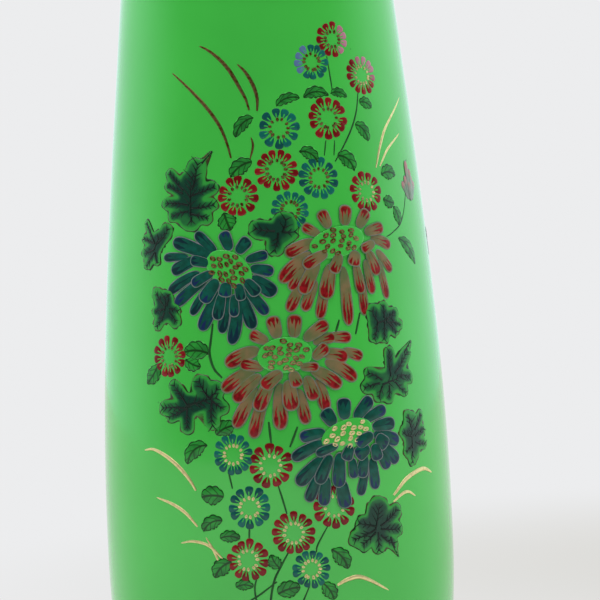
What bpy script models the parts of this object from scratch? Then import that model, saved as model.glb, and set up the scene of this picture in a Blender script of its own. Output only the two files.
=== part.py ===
"""Cloisonne vase, built as the real one is: a spun copper vessel between two coats of enamel, a brass
lip binding and foot ring, and the spray of flowers as separate raised cells of enamel on the front.

Metres, +Z up, origin on the axis at the plane it stands on. The front of the spray faces -Y.
"""

import math

import bpy
from mathutils import Vector

MM = 0.001

# Driving dimensions, in millimetres.
SEGMENTS = 36            # facets round the axis, the same for every nested layer
WALL_LEVELS = 12         # rows of facets between the foot and the lip
BODY_LOW = 7.2           # where the enamelled wall starts, just above the foot ring
BODY_HIGH = 331.0        # where it ends, inside the lip binding
GAP = 0.3                # clearance between pieces that touch
GROUND_THICKNESS = 0.9   # green enamel outside
COPPER_THICKNESS = 1.0   # spun copper vessel
LINING_THICKNESS = 0.6   # counter enamel inside
CELL_THICKNESS = 0.5     # raised enamel of a flower or leaf
BLADE_RADIUS = 0.35      # half the width of a gilt grass blade at its middle

# Height and outer radius of the wall. It is widest low down, tapers to a waisted neck and flares.
BODY_STATIONS = [
    (BODY_LOW, 44.0), (15.0, 49.9), (28.0, 55.2), (45.0, 58.4), (65.0, 59.7), (85.0, 60.0),
    (125.0, 59.0), (160.0, 56.9), (195.0, 54.1), (230.0, 50.8), (265.0, 47.4),
    (286.0, 45.7), (302.0, 45.2), (318.0, 46.7), (BODY_HIGH, 50.2),
]

# Sections of the turned metal mounts, as (radius, height), down the outer side and up the inner.
FOOT_SECTION = [
    (44.4, 6.9), (44.8, 6.0), (42.7, 3.9), (42.4, 2.1), (43.2, 0.8), (42.8, 0.0), (39.2, 0.0),
    (38.5, 0.9), (38.5, 6.9),
]
RIM_SECTION = [
    (49.2, 334.2), (50.9, 333.8), (51.5, 332.4), (51.2, 329.8), (50.5, 327.4), (49.8, 327.4),
    (50.8, 332.0), (46.4, 332.0), (45.7, 328.6), (45.1, 328.6), (45.6, 332.2), (46.8, 333.9),
]
BASE_ENAMEL_RADIUS = 38.0
BASE_ENAMEL_LOW = 6.2

# Colour, roughness and metallic value of each finish.
FINISHES = {
    "green_enamel": ((0.045, 0.420, 0.075), 0.12, 0.0),
    "lining_enamel": ((0.060, 0.300, 0.180), 0.20, 0.0),
    "copper": ((0.720, 0.340, 0.200), 0.35, 1.0),
    "brass": ((0.800, 0.620, 0.300), 0.22, 1.0),
    "gilt": ((0.850, 0.640, 0.280), 0.28, 1.0),
    "red_enamel": ((0.300, 0.020, 0.020), 0.15, 0.0),
    "rose_enamel": ((0.330, 0.130, 0.080), 0.15, 0.0),
    "blue_enamel": ((0.010, 0.110, 0.120), 0.15, 0.0),
    "leaf_enamel": ((0.015, 0.110, 0.045), 0.15, 0.0),
}

# The spray. Azimuth in degrees from the front, positive to the viewer's right, then millimetres:
# height of the centre, half width, half height.
CHRYSANTHEMUMS = {
    "chrysanthemum_blue_upper": (-16.4, 164.4, 17.0, 15.6, "blue_enamel"),
    "chrysanthemum_red_upper": (24.8, 171.6, 16.8, 16.6, "rose_enamel"),
    "chrysanthemum_red_middle": (5.4, 137.6, 19.6, 15.6, "rose_enamel"),
    "chrysanthemum_blue_lower": (24.4, 109.0, 16.6, 15.4, "blue_enamel"),
}
BLOSSOMS = {
    "blossom_red_01": (30.5, 245.9, 5.2, 6.0, "red_enamel"),
    "blossom_blue_01": (20.8, 238.1, 5.4, 6.0, "blue_enamel"),
    "blossom_red_02": (42.9, 233.9, 6.4, 6.9, "red_enamel"),
    "blossom_blue_02": (6.7, 216.4, 7.0, 6.7, "blue_enamel"),
    "blossom_red_03": (25.5, 219.4, 7.2, 7.3, "red_enamel"),
    "blossom_red_04": (4.6, 202.9, 6.6, 6.3, "red_enamel"),
    "blossom_red_05": (-8.8, 194.9, 6.8, 6.8, "red_enamel"),
    "blossom_blue_03": (20.1, 200.4, 7.0, 6.5, "blue_enamel"),
    "blossom_blue_04": (9.2, 191.2, 5.6, 3.0, "blue_enamel"),
    "blossom_red_06": (39.0, 195.4, 6.6, 6.4, "red_enamel"),
    "blossom_red_07": (-35.1, 143.3, 6.7, 6.9, "red_enamel"),
    "blossom_blue_05": (-13.1, 110.8, 6.2, 6.6, "blue_enamel"),
    "blossom_red_08": (-1.3, 106.8, 6.6, 7.0, "red_enamel"),
    "blossom_blue_06": (-8.7, 93.3, 7.0, 6.9, "blue_enamel"),
    "blossom_red_09": (4.8, 84.7, 7.0, 6.7, "red_enamel"),
    "blossom_red_10": (18.1, 87.8, 5.6, 3.0, "red_enamel"),
    "blossom_red_11": (-9.7, 76.7, 7.0, 6.2, "red_enamel"),
    "blossom_blue_07": (9.9, 71.8, 6.2, 5.9, "blue_enamel"),
    "bud_red": (65.5, 199.5, 3.6, 9.2, "red_enamel"),
    "blossom_red_12": (97.0, 215.0, 6.6, 6.9, "red_enamel"),
    "blossom_blue_08": (104.0, 193.0, 6.4, 6.6, "blue_enamel"),
}
# A leaf also has the direction of its tip: degrees anticlockwise from the viewer's right.
LEAVES = {
    "leaf_01": (-27.0, 195.8, 9.4, 11.6, 76),
    "leaf_02": (-40.8, 180.6, 7.4, 9.0, 112),
    "leaf_03": (3.0, 183.0, 6.4, 6.8, 200),
    "leaf_04": (-38.6, 160.0, 5.4, 7.4, 84),
    "leaf_05": (-27.0, 127.6, 13.4, 9.6, 200),
    "leaf_06": (41.6, 151.4, 9.4, 6.8, 20),
    "leaf_07": (43.0, 134.6, 12.2, 9.4, 52),
    "leaf_08": (51.0, 112.8, 8.0, 9.8, 98),
    "leaf_09": (33.6, 83.8, 10.4, 10.6, 262),
    "leaf_10": (91.0, 180.0, 7.6, 8.6, 250),
    "leaf_11": (113.0, 175.0, 7.2, 8.4, 300),
}
# A gilt grass blade: azimuth and height of its root, its middle and its tip.
BLADES = {
    "grass_blade_01": ((-11.0, 207.4), (-18.6, 222.2), (-34.6, 237.0)),
    "grass_blade_02": ((-3.9, 223.0), (-10.4, 235.0), (-22.7, 245.0)),
    "grass_blade_03": ((-1.3, 223.4), (-3.0, 231.6), (-7.7, 238.2)),
    "grass_blade_04": ((-4.0, 206.6), (-2.9, 210.6), (-3.5, 214.0)),
    "grass_blade_05": ((45.0, 205.4), (53.0, 217.0), (68.0, 228.0)),
    "grass_blade_06": ((49.0, 205.0), (54.0, 210.6), (62.7, 215.0)),
    "grass_blade_07": ((-26.4, 99.2), (-34.4, 108.6), (-46.5, 112.6)),
    "grass_blade_08": ((-26.0, 87.6), (-33.0, 93.8), (-41.6, 97.2)),
    "grass_blade_09": ((-22.8, 80.8), (-27.4, 82.8), (-32.3, 82.2)),
    "grass_blade_10": ((-18.6, 75.4), (-20.6, 80.0), (-22.4, 84.6)),
    "grass_blade_11": ((44.0, 98.4), (50.6, 101.6), (60.6, 100.4)),
    "grass_blade_12": ((41.4, 95.6), (45.6, 96.2), (49.8, 94.4)),
    "grass_blade_13": ((18.2, 66.6), (27.0, 68.9), (36.2, 63.7)),
    "grass_blade_14": ((96.0, 226.0), (99.0, 238.0), (107.0, 250.0)),
}


def body_radius(height):
    """Outer radius of the wall at a height, on a smooth curve through the stations."""
    stations = BODY_STATIONS
    slopes = []
    for i in range(len(stations)):
        before, after = stations[max(i - 1, 0)], stations[min(i + 1, len(stations) - 1)]
        slopes.append((after[1] - before[1]) / (after[0] - before[0]))
    height = min(max(height, stations[0][0]), stations[-1][0])
    i = max(k for k in range(len(stations) - 1) if stations[k][0] <= height)
    (low, low_radius), (high, high_radius) = stations[i], stations[i + 1]
    span = high - low
    t = (height - low) / span
    return (
        (2 * t**3 - 3 * t**2 + 1) * low_radius
        + (t**3 - 2 * t**2 + t) * span * slopes[i]
        + (3 * t**2 - 2 * t**3) * high_radius
        + (t**3 - t**2) * span * slopes[i + 1]
    )


def wall(depth):
    """The wall's outline from lip to foot, set in by a depth measured square to the surface."""
    outline = []
    for i in range(WALL_LEVELS + 1):
        share = 0.5 + 0.5 * math.cos(math.pi * i / WALL_LEVELS)
        height = BODY_LOW + share * (BODY_HIGH - BODY_LOW)
        step = 0.5
        slope = (body_radius(height + step) - body_radius(height - step)) / (
            min(height + step, BODY_HIGH) - max(height - step, BODY_LOW)
        )
        length = math.hypot(1, slope)
        outline.append((body_radius(height) - depth / length, height + depth * slope / length))
    return outline


def on_body(azimuth, height, lift):
    """The point at an azimuth in degrees and a height, lifted off the wall, in metres."""
    radius = body_radius(height) + lift
    angle = math.radians(azimuth)
    return Vector((radius * math.sin(angle), -radius * math.cos(angle), height)) * MM


def finish_material(name):
    colour, roughness, metallic = FINISHES[name]
    material = bpy.data.materials.new(name)
    material.use_nodes = True
    shader = material.node_tree.nodes["Principled BSDF"]
    shader.inputs["Base Color"].default_value = (*colour, 1.0)
    shader.inputs["Roughness"].default_value = roughness
    shader.inputs["Metallic"].default_value = metallic
    return material


def turned(name, section, steps, closed, material):
    """A section, as (radius, height) in millimetres, turned about Z."""
    count = len(section)
    edges = [(i, i + 1) for i in range(count - 1)] + ([(count - 1, 0)] if closed else [])
    mesh = bpy.data.meshes.new(name)
    mesh.from_pydata([Vector((radius, 0, height)) * MM for radius, height in section], edges, [])
    mesh.materials.append(material)
    piece = bpy.data.objects.new(name, mesh)
    PARTS.objects.link(piece)
    screw = piece.modifiers.new("turn", "SCREW")
    screw.steps = steps
    screw.render_steps = steps
    screw.use_merge_vertices = True
    screw.merge_threshold = 0.00002
    screw.use_smooth_shade = True
    return piece


def apply_modifiers(piece):
    """Leaves the piece as the plain mesh that its modifiers make."""
    graph = bpy.context.evaluated_depsgraph_get()
    made = bpy.data.meshes.new_from_object(piece.evaluated_get(graph))
    piece.modifiers.clear()
    piece.data = made
    return piece


def lay_on_body(piece, azimuth, height):
    """Bends a flat piece, modelled in millimetres about its own Z, onto the front of the wall."""
    for vertex in piece.data.vertices:
        across, up, lift = vertex.co / MM
        radius = body_radius(height + up)
        turn = math.degrees(across / radius)
        vertex.co = on_body(azimuth + turn, height + up, GAP + CELL_THICKNESS / 2 + lift)
    return piece


def enamel_cell(name, azimuth, height, rings, steps, outline, material):
    """A raised cell of enamel: a thin turned disc, its edge moved to outline(angle), laid on the wall."""
    half = CELL_THICKNESS / 2
    section = [(i / rings, half) for i in range(rings + 1)]
    section += [(i / rings, -half) for i in range(rings, -1, -1)]
    piece = apply_modifiers(turned(name, section, steps, False, material))
    for vertex in piece.data.vertices:
        x, y, z = vertex.co / MM
        share = math.hypot(x, y)
        reach_x, reach_y = outline(math.atan2(y, x))
        vertex.co = Vector((share * reach_x, share * reach_y, z)) * MM
    return lay_on_body(piece, azimuth, height)


def scalloped(half_width, half_height, petals, depth):
    """An oval edge with a point for every petal."""

    def outline(angle):
        reach = 1 - depth * (0.5 - 0.5 * math.cos(petals * angle))
        return half_width * reach * math.cos(angle), half_height * reach * math.sin(angle)

    return outline


def lobed(half_width, half_height, tip, lobes=5, depth=0.34):
    """A leaf's edge: lobes round an oval, the one at the tip a little longer."""
    tip = math.radians(tip)

    def outline(angle):
        from_tip = angle - tip
        reach = 1 - depth * (0.5 - 0.5 * math.cos(lobes * from_tip))
        reach *= 0.9 + 0.1 * math.cos(from_tip)
        return half_width * reach * math.cos(angle), half_height * reach * math.sin(angle)

    return outline


def grass_blade(name, root, middle, tip, material):
    """A gilt wire on the wall, thin at both ends, through its root, middle and tip."""
    points = 7
    curve = bpy.data.curves.new(name, "CURVE")
    curve.dimensions = "3D"
    curve.bevel_depth = BLADE_RADIUS * MM
    curve.bevel_resolution = 1
    curve.use_fill_caps = True
    spline = curve.splines.new("POLY")
    spline.points.add(points - 1)
    for i, point in enumerate(spline.points):
        t = i / (points - 1)
        weights = ((1 - t) * (1 - 2 * t), 4 * t * (1 - t), t * (2 * t - 1))
        azimuth, height = (
            sum(w * place[k] for w, place in zip(weights, (root, middle, tip))) for k in (0, 1)
        )
        point.co = (*on_body(azimuth, height, GAP + BLADE_RADIUS), 1)
        point.radius = 0.5 + 0.5 * math.sin(math.pi * t)
    curve.materials.append(material)
    piece = bpy.data.objects.new(name, curve)
    PARTS.objects.link(piece)
    return piece


def vessel_section(outer_depth, thickness, underside, floor):
    """A vessel's wall and bottom: out along its floor, up inside, over the lip and down outside."""
    inner = wall(outer_depth + thickness)
    outer = wall(outer_depth)
    corner = 1.0
    up_inside = [(0, floor), (inner[-1][0] - corner, floor), *reversed(inner)]
    return [*up_inside, *outer, (outer[-1][0] - corner, underside), (0, underside)]


def build_vessel(finishes):
    """The nested layers of the wall, from the outside in, and the mounts at both ends."""
    ground = [*wall(0), *reversed(wall(GROUND_THICKNESS))]
    turned("ground_enamel", ground, SEGMENTS, True, finishes["green_enamel"])
    copper_depth = GROUND_THICKNESS + GAP
    copper_floor = BODY_LOW + COPPER_THICKNESS
    copper = vessel_section(copper_depth, COPPER_THICKNESS, BODY_LOW, copper_floor)
    turned("copper_body", copper, SEGMENTS, False, finishes["copper"])
    lining_depth = copper_depth + COPPER_THICKNESS + GAP
    lining_low = copper_floor + GAP
    lining = vessel_section(
        lining_depth, LINING_THICKNESS, lining_low, lining_low + LINING_THICKNESS
    )
    turned("inner_enamel", lining, SEGMENTS, False, finishes["lining_enamel"])
    base_high = BODY_LOW - GAP
    base = [
        (0, base_high), (BASE_ENAMEL_RADIUS, base_high),
        (BASE_ENAMEL_RADIUS, BASE_ENAMEL_LOW), (0, BASE_ENAMEL_LOW),
    ]
    turned("base_enamel", base, SEGMENTS, False, finishes["lining_enamel"])
    turned("foot_ring", FOOT_SECTION, SEGMENTS, True, finishes["brass"])
    turned("rim_binding", RIM_SECTION, SEGMENTS, True, finishes["brass"])


def build_spray(finishes):
    for name, (azimuth, height, across, up, finish) in CHRYSANTHEMUMS.items():
        outline = scalloped(across, up, 14, 0.16)
        enamel_cell(name, azimuth, height, 3, 28, outline, finishes[finish])
    for name, (azimuth, height, across, up, finish) in BLOSSOMS.items():
        outline = scalloped(across, up, 10, 0.16)
        enamel_cell(name, azimuth, height, 1, 20, outline, finishes[finish])
    for name, (azimuth, height, across, up, tip) in LEAVES.items():
        outline = lobed(across, up, tip)
        enamel_cell(name, azimuth, height, 2, 20, outline, finishes["leaf_enamel"])
    for name, (root, middle, tip) in BLADES.items():
        grass_blade(name, root, middle, tip, finishes["gilt"])


for leftover in list(bpy.data.objects):
    bpy.data.objects.remove(leftover, do_unlink=True)
PARTS = bpy.data.collections.new("cloisonne_vase")
bpy.context.scene.collection.children.link(PARTS)
made_finishes = {name: finish_material(name) for name in FINISHES}
build_vessel(made_finishes)
build_spray(made_finishes)
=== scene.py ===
"""Cloisonne vase: the finished look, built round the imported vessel.

The vessel's layers are turned again at full smoothness from the frame's own sizes. Each flower, leaf
and grass blade is raised enamel or gilding, modelled flat and then laid on the wall by Geometry Nodes.
"""

import math

import bmesh
import bpy
import numpy as np
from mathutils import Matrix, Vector


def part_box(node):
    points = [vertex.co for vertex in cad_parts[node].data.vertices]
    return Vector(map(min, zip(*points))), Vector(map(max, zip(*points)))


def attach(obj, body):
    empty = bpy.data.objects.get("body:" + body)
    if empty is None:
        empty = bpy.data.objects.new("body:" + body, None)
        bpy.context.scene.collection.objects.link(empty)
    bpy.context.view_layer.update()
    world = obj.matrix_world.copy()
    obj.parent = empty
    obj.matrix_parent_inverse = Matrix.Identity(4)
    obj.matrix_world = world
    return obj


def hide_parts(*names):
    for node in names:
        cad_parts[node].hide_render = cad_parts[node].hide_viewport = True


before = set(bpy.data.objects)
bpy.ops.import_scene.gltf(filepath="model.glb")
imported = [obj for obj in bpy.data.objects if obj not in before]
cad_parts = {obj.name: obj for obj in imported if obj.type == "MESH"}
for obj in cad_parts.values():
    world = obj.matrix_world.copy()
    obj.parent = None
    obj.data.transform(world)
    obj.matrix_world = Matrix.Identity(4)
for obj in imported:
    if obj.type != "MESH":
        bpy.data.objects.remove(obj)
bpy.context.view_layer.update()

MM = 0.001
BODY = "root"

# ---------------------------------------------------------------------------- driving sizes, in metres

TURNED_STEPS = 160
COAT = 0.9 * MM              # green enamel outside
LINING_DEPTH = 2.5 * MM      # from the outer face to the counter enamel inside
LINING = 0.6 * MM
LINE = 0.38 * MM             # width of the outline painted round a petal
SINK = 0.08 * MM             # how far raised enamel starts below the ground's face
SPREAD = 54 * MM             # radius at which widths of a piece that goes far round the wall are true


# ---------------------------------------------------------------------------- nodes as expressions

class Value:
    """The output of a node. Arithmetic on it adds Math nodes."""

    def __init__(self, graph, socket):
        self.graph = graph
        self.socket = socket

    def math(self, operation, *others):
        return self.graph.math(operation, self, *others)

    def __add__(self, other):
        return self.math("ADD", other)

    def __sub__(self, other):
        return self.math("SUBTRACT", other)

    def __mul__(self, other):
        return self.math("MULTIPLY", other)

    def __truediv__(self, other):
        return self.math("DIVIDE", other)

    def __pow__(self, other):
        return self.math("POWER", other)

    def __mod__(self, other):
        return self.math("FLOORED_MODULO", other)

    def __neg__(self):
        return self.math("MULTIPLY", -1.0)

    def __abs__(self):
        return self.math("ABSOLUTE")

    def __gt__(self, other):
        return self.math("GREATER_THAN", other)

    def __rsub__(self, other):
        return self.graph.math("SUBTRACT", other, self)

    def __rtruediv__(self, other):
        return self.graph.math("DIVIDE", other, self)

    __radd__ = __add__
    __rmul__ = __mul__

    def sin(self):
        return self.math("SINE")

    def cos(self):
        return self.math("COSINE")

    def root(self):
        return self.math("SQRT")

    def at_least(self, other):
        return self.math("MAXIMUM", other)

    def at_most(self, other):
        return self.math("MINIMUM", other)

    def ramp(self, low, high):
        """0 below low and 1 above high, with a smooth step between. It falls where low is the larger."""
        sockets = {"Value": self, "From Min": low, "From Max": high}
        return self.graph.node("ShaderNodeMapRange", {"interpolation_type": "SMOOTHSTEP"}, sockets)

    def output(self, name):
        return Value(self.graph, self.socket.node.outputs[name])


class Graph:
    """A node tree that is written as expressions."""

    def __init__(self, tree):
        self.tree = tree

    def node(self, kind, settings=None, sockets=None, output=0):
        """Adds a node, makes its settings, then fills its sockets with values or links."""
        made = self.tree.nodes.new(kind)
        for name, value in (settings or {}).items():
            setattr(made, name, value)
        for name, value in (sockets or {}).items():
            if isinstance(value, Value):
                self.tree.links.new(value.socket, made.inputs[name])
            else:
                made.inputs[name].default_value = value
        return Value(self, made.outputs[output])

    def math(self, operation, *terms):
        return self.node("ShaderNodeMath", {"operation": operation}, dict(enumerate(terms)))

    def mix(self, factor, first, second):
        """A blend of two colours, each a triple or a Value."""
        first, second = (c if isinstance(c, Value) else (*c, 1.0) for c in (first, second))
        settings = {"data_type": "RGBA"}
        return self.node("ShaderNodeMix", settings, {0: factor, 6: first, 7: second}, output=2)

    def split(self, vector):
        """The three parts of a vector."""
        parts = self.node("ShaderNodeSeparateXYZ", None, {0: vector})
        return parts, parts.output("Y"), parts.output("Z")

    def vector(self, x, y, z):
        return self.node("ShaderNodeCombineXYZ", None, {"X": x, "Y": y, "Z": z})


class Finish(Graph):
    """A material whose nodes end in a Principled shader with the given plain values."""

    def __init__(self, name, **plain):
        material = bpy.data.materials.new(name)
        material.use_nodes = True
        super().__init__(material.node_tree)
        self.material = material
        self.shader = material.node_tree.nodes["Principled BSDF"]
        for socket, value in plain.items():
            self.shader.inputs[socket.replace("_", " ")].default_value = value
        self.place = self.node("ShaderNodeTexCoord", output="Object")

    def set(self, **links):
        for socket, value in links.items():
            self.tree.links.new(value.socket, self.shader.inputs[socket.replace("_", " ")])

    def named(self, name):
        """A value that the piece's mesh carries."""
        return self.node("ShaderNodeAttribute", {"attribute_name": name}, output="Fac")

    def noise(self, scale, detail=2.0, roughness=0.5):
        sockets = {"Vector": self.place, "Scale": scale, "Detail": detail, "Roughness": roughness}
        return self.node("ShaderNodeTexNoise", None, sockets)

    def relief(self, height, strength, distance):
        sockets = {"Height": height, "Strength": strength, "Distance": distance}
        self.set(Normal=self.node("ShaderNodeBump", None, sockets))


class Tree(Graph):
    """A Geometry Nodes tree with named inputs, which ends in real geometry with one material."""

    def __init__(self, name, **inputs):
        tree = bpy.data.node_groups.new(name, "GeometryNodeTree")
        super().__init__(tree)
        kinds = {"Geometry": "Geometry", "Wall": "Object", "Finish": "Material", **inputs}
        self.sockets = {}
        for label, kind in kinds.items():
            socket_type = "NodeSocket" + kind
            made = tree.interface.new_socket(label, in_out="INPUT", socket_type=socket_type)
            self.sockets[label] = made.identifier
        tree.interface.new_socket("Geometry", in_out="OUTPUT", socket_type="NodeSocketGeometry")
        self.start = tree.nodes.new("NodeGroupInput")
        self.end = tree.nodes.new("NodeGroupOutput")

    def input(self, name):
        return Value(self, self.start.outputs[name])

    def named(self, name):
        settings = {"data_type": "FLOAT"}
        return self.node("GeometryNodeInputNamedAttribute", settings, {"Name": name})

    def store(self, geometry, **values):
        for name, value in values.items():
            settings = {"data_type": "FLOAT", "domain": "POINT"}
            sockets = {"Geometry": geometry, "Name": name, "Value": value}
            geometry = self.node("GeometryNodeStoreNamedAttribute", settings, sockets)
        return geometry

    def random(self, low, high, salt):
        """A number for each point, the same every time for one seed."""
        seed = self.input("Seed") * 17 + salt
        settings = {"data_type": "FLOAT"}
        return self.node("FunctionNodeRandomValue", settings, {2: low, 3: high, 8: seed}, output=1)

    def copies(self, points, shape):
        """One shape on every point, made real. The shape takes on the point's stored values."""
        sockets = {"Points": points, "Instance": shape}
        placed = self.node("GeometryNodeInstanceOnPoints", None, sockets)
        return self.node("GeometryNodeRealizeInstances", None, {"Geometry": placed})

    def lay_on_wall(self, geometry, across, up, lift):
        """Puts points at a distance across and up from the piece's centre, lifted off the wall."""
        turn = self.input("Azimuth") + across / self.input("Radius")
        out_x, out_y = turn.sin(), -turn.cos()
        far = 0.2
        source = self.vector(out_x * far, out_y * far, self.input("Height") + up)
        wall = self.node("GeometryNodeObjectInfo", None, {"Object": self.input("Wall")}, "Geometry")
        sockets = {
            "Target Geometry": wall,
            "Source Position": source,
            "Ray Direction": self.vector(-out_x, -out_y, 0.0),
            "Ray Length": far,
        }
        hit = self.node("GeometryNodeRaycast", None, sockets, "Hit Position")
        settings = {"operation": "SCALE"}
        sockets = {0: hit.output("Hit Normal"), "Scale": lift}
        raised = self.node("ShaderNodeVectorMath", settings, sockets)
        place = self.node("ShaderNodeVectorMath", {"operation": "ADD"}, {0: hit, 1: raised})
        sockets = {"Geometry": geometry, "Position": place}
        return self.node("GeometryNodeSetPosition", None, sockets)

    def finish(self, geometry):
        sockets = {"Geometry": geometry, "Material": self.input("Finish")}
        made = self.node("GeometryNodeSetMaterial", None, sockets)
        self.tree.links.new(made.socket, self.end.inputs[0])
        return self


PLACE = {"Azimuth": "Float", "Height": "Float", "Radius": "Float", "Seed": "Int"}


# ---------------------------------------------------------------------------- pieces

def add_piece(name, mesh, material=None, replaces=None):
    """Links a finished mesh as a piece that rides on the vase."""
    mesh.name = name
    piece = bpy.data.objects.new(name, mesh)
    bpy.context.scene.collection.objects.link(piece)
    if material:
        mesh.materials.clear()
        mesh.materials.append(material)
    mesh.shade_smooth()
    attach(piece, BODY)
    if replaces:
        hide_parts(replaces)
    return piece


def grown(tree, data, values):
    """The plain mesh that a tree makes from a mesh or a curve with these inputs."""
    source = bpy.data.objects.new("seed", data)
    bpy.context.scene.collection.objects.link(source)
    modifier = source.modifiers.new("grow", "NODES")
    modifier.node_group = tree.tree
    for label, value in {"Wall": WALL, **values}.items():
        modifier[tree.sockets[label]] = value
    graph = bpy.context.evaluated_depsgraph_get()
    mesh = bpy.data.meshes.new_from_object(source.evaluated_get(graph))
    bpy.data.objects.remove(source)
    mesh.materials.clear()
    mesh.materials.append(values["Finish"])
    return mesh


def merged(meshes):
    """Several meshes as one, each keeping its stored values."""
    objects = [bpy.data.objects.new("part", mesh) for mesh in meshes]
    for part in objects:
        bpy.context.scene.collection.objects.link(part)
    with bpy.context.temp_override(
        active_object=objects[0], selected_objects=objects, selected_editable_objects=objects
    ):
        bpy.ops.object.join()
    mesh = objects[0].data
    bpy.data.objects.remove(objects[0])
    return mesh


def single_point():
    mesh = bpy.data.meshes.new("point")
    mesh.from_pydata([(0, 0, 0)], [], [])
    return mesh


# ---------------------------------------------------------------------------- the turned vessel

def read_wall():
    """Heights and outer radii of the vessel's wall, from the rows of the CAD coat."""
    rows = {}
    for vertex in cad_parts["ground_enamel"].data.vertices:
        height = round(vertex.co.z, 5)
        rows[height] = max(rows.get(height, 0.0), math.hypot(vertex.co.x, vertex.co.y))
    near, inner = 1.0 * MM, 0.4 * MM
    return [
        (height, radius)
        for height, radius in sorted(rows.items())
        if not any(abs(h - height) < near and r > radius + inner for h, r in rows.items())
    ]


STATIONS = read_wall()


def wall_radius(height):
    """Outer radius of the wall at a height, on a smooth curve through the CAD rows."""
    height = min(max(height, STATIONS[0][0]), STATIONS[-1][0])
    i = max(k for k in range(len(STATIONS) - 1) if STATIONS[k][0] <= height)
    slopes = []
    for k in (i, i + 1):
        before, after = STATIONS[max(k - 1, 0)], STATIONS[min(k + 1, len(STATIONS) - 1)]
        slopes.append((after[1] - before[1]) / (after[0] - before[0]))
    (low, low_radius), (high, high_radius) = STATIONS[i], STATIONS[i + 1]
    span = high - low
    t = (height - low) / span
    ends = (1 + 2 * t) * (1 - t) ** 2 * low_radius + t * t * (3 - 2 * t) * high_radius
    return ends + span * (t * (1 - t) ** 2 * slopes[0] - t * t * (1 - t) * slopes[1])


def wall_section(depth, rows=110):
    """The wall's outline from lip to foot as (radius, height), set in square to its face."""
    low, high = STATIONS[0][0], STATIONS[-1][0]
    step = 0.4 * MM
    section = []
    for i in range(rows + 1):
        height = low + (high - low) * (0.5 + 0.5 * math.cos(math.pi * i / rows))
        above, below = min(height + step, high), max(height - step, low)
        slope = (wall_radius(above) - wall_radius(below)) / (above - below)
        length = math.hypot(1, slope)
        section.append((wall_radius(height) - depth / length, height + depth * slope / length))
    return section


def rounded(section):
    """A closed section with its corners cut back twice, which rounds them."""
    for _ in range(2):
        cut = []
        for (r0, z0), (r1, z1) in zip(section, section[1:] + section[:1]):
            cut.append((0.75 * r0 + 0.25 * r1, 0.75 * z0 + 0.25 * z1))
            cut.append((0.25 * r0 + 0.75 * r1, 0.25 * z0 + 0.75 * z1))
        section = cut
    return section


def turned_mesh(section, closed):
    """A section, as (radius, height), turned about the vase's axis into one closed mesh."""
    shape = bmesh.new()
    points = [shape.verts.new((radius, 0, height)) for radius, height in section]
    pairs = list(zip(points, points[1:])) + ([(points[-1], points[0])] if closed else [])
    edges = [shape.edges.new(pair) for pair in pairs]
    bmesh.ops.spin(
        shape, geom=[*points, *edges], axis=(0, 0, 1), cent=(0, 0, 0), dvec=(0, 0, 0),
        angle=2 * math.pi, steps=TURNED_STEPS, use_merge=True,
    )
    bmesh.ops.remove_doubles(shape, verts=shape.verts, dist=0.001 * MM)
    bmesh.ops.recalc_face_normals(shape, faces=shape.faces)
    mesh = bpy.data.meshes.new("turned")
    shape.to_mesh(mesh)
    shape.free()
    return mesh


def sharpened(piece, degrees):
    """Leaves edges sharper than an angle crisp."""
    piece.data.set_sharp_from_angle(angle=math.radians(degrees))


def build_ground(material):
    section = wall_section(0.0) + wall_section(COAT, rows=40)[::-1]
    mesh = turned_mesh(section, closed=True)
    return add_piece("ground_coat", mesh, material, "ground_enamel")


def build_lining(material):
    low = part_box("inner_enamel")[0].z
    corner = 3.0 * MM
    outside = [p for p in wall_section(LINING_DEPTH, rows=70) if p[1] > low + corner]
    inside = [p for p in wall_section(LINING_DEPTH + LINING, rows=70) if p[1] > low + corner + LINING]
    foot_outer, foot_inner = outside[-1][0], inside[-1][0]
    floor = low + LINING
    inner_curve = [(foot_inner - corner * 0.5, floor + corner * 0.45), (foot_inner - corner * 1.6, floor)]
    outer_curve = [(foot_outer - corner * 0.5, low + corner * 0.4), (foot_outer - corner * 1.6, low)]
    section = [(0.0, floor), *inner_curve[::-1], *inside[::-1], *outside, *outer_curve, (0.0, low)]
    mesh = turned_mesh(section, closed=False)
    return add_piece("inner_lining", mesh, material, "inner_enamel")


def build_base(material):
    low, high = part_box("base_enamel")
    reach, soft = high.x, 0.25 * MM
    section = [
        (0.0, high.z), (reach - soft, high.z), (reach, high.z - soft),
        (reach, low.z + soft), (reach - 2 * soft, low.z + 0.5 * soft), (reach * 0.8, low.z + soft),
        (reach * 0.4, low.z + 1.4 * soft), (0.0, low.z + 1.5 * soft),
    ]
    mesh = turned_mesh(section, closed=False)
    return add_piece("base_disc", mesh, material, "base_enamel")


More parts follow.
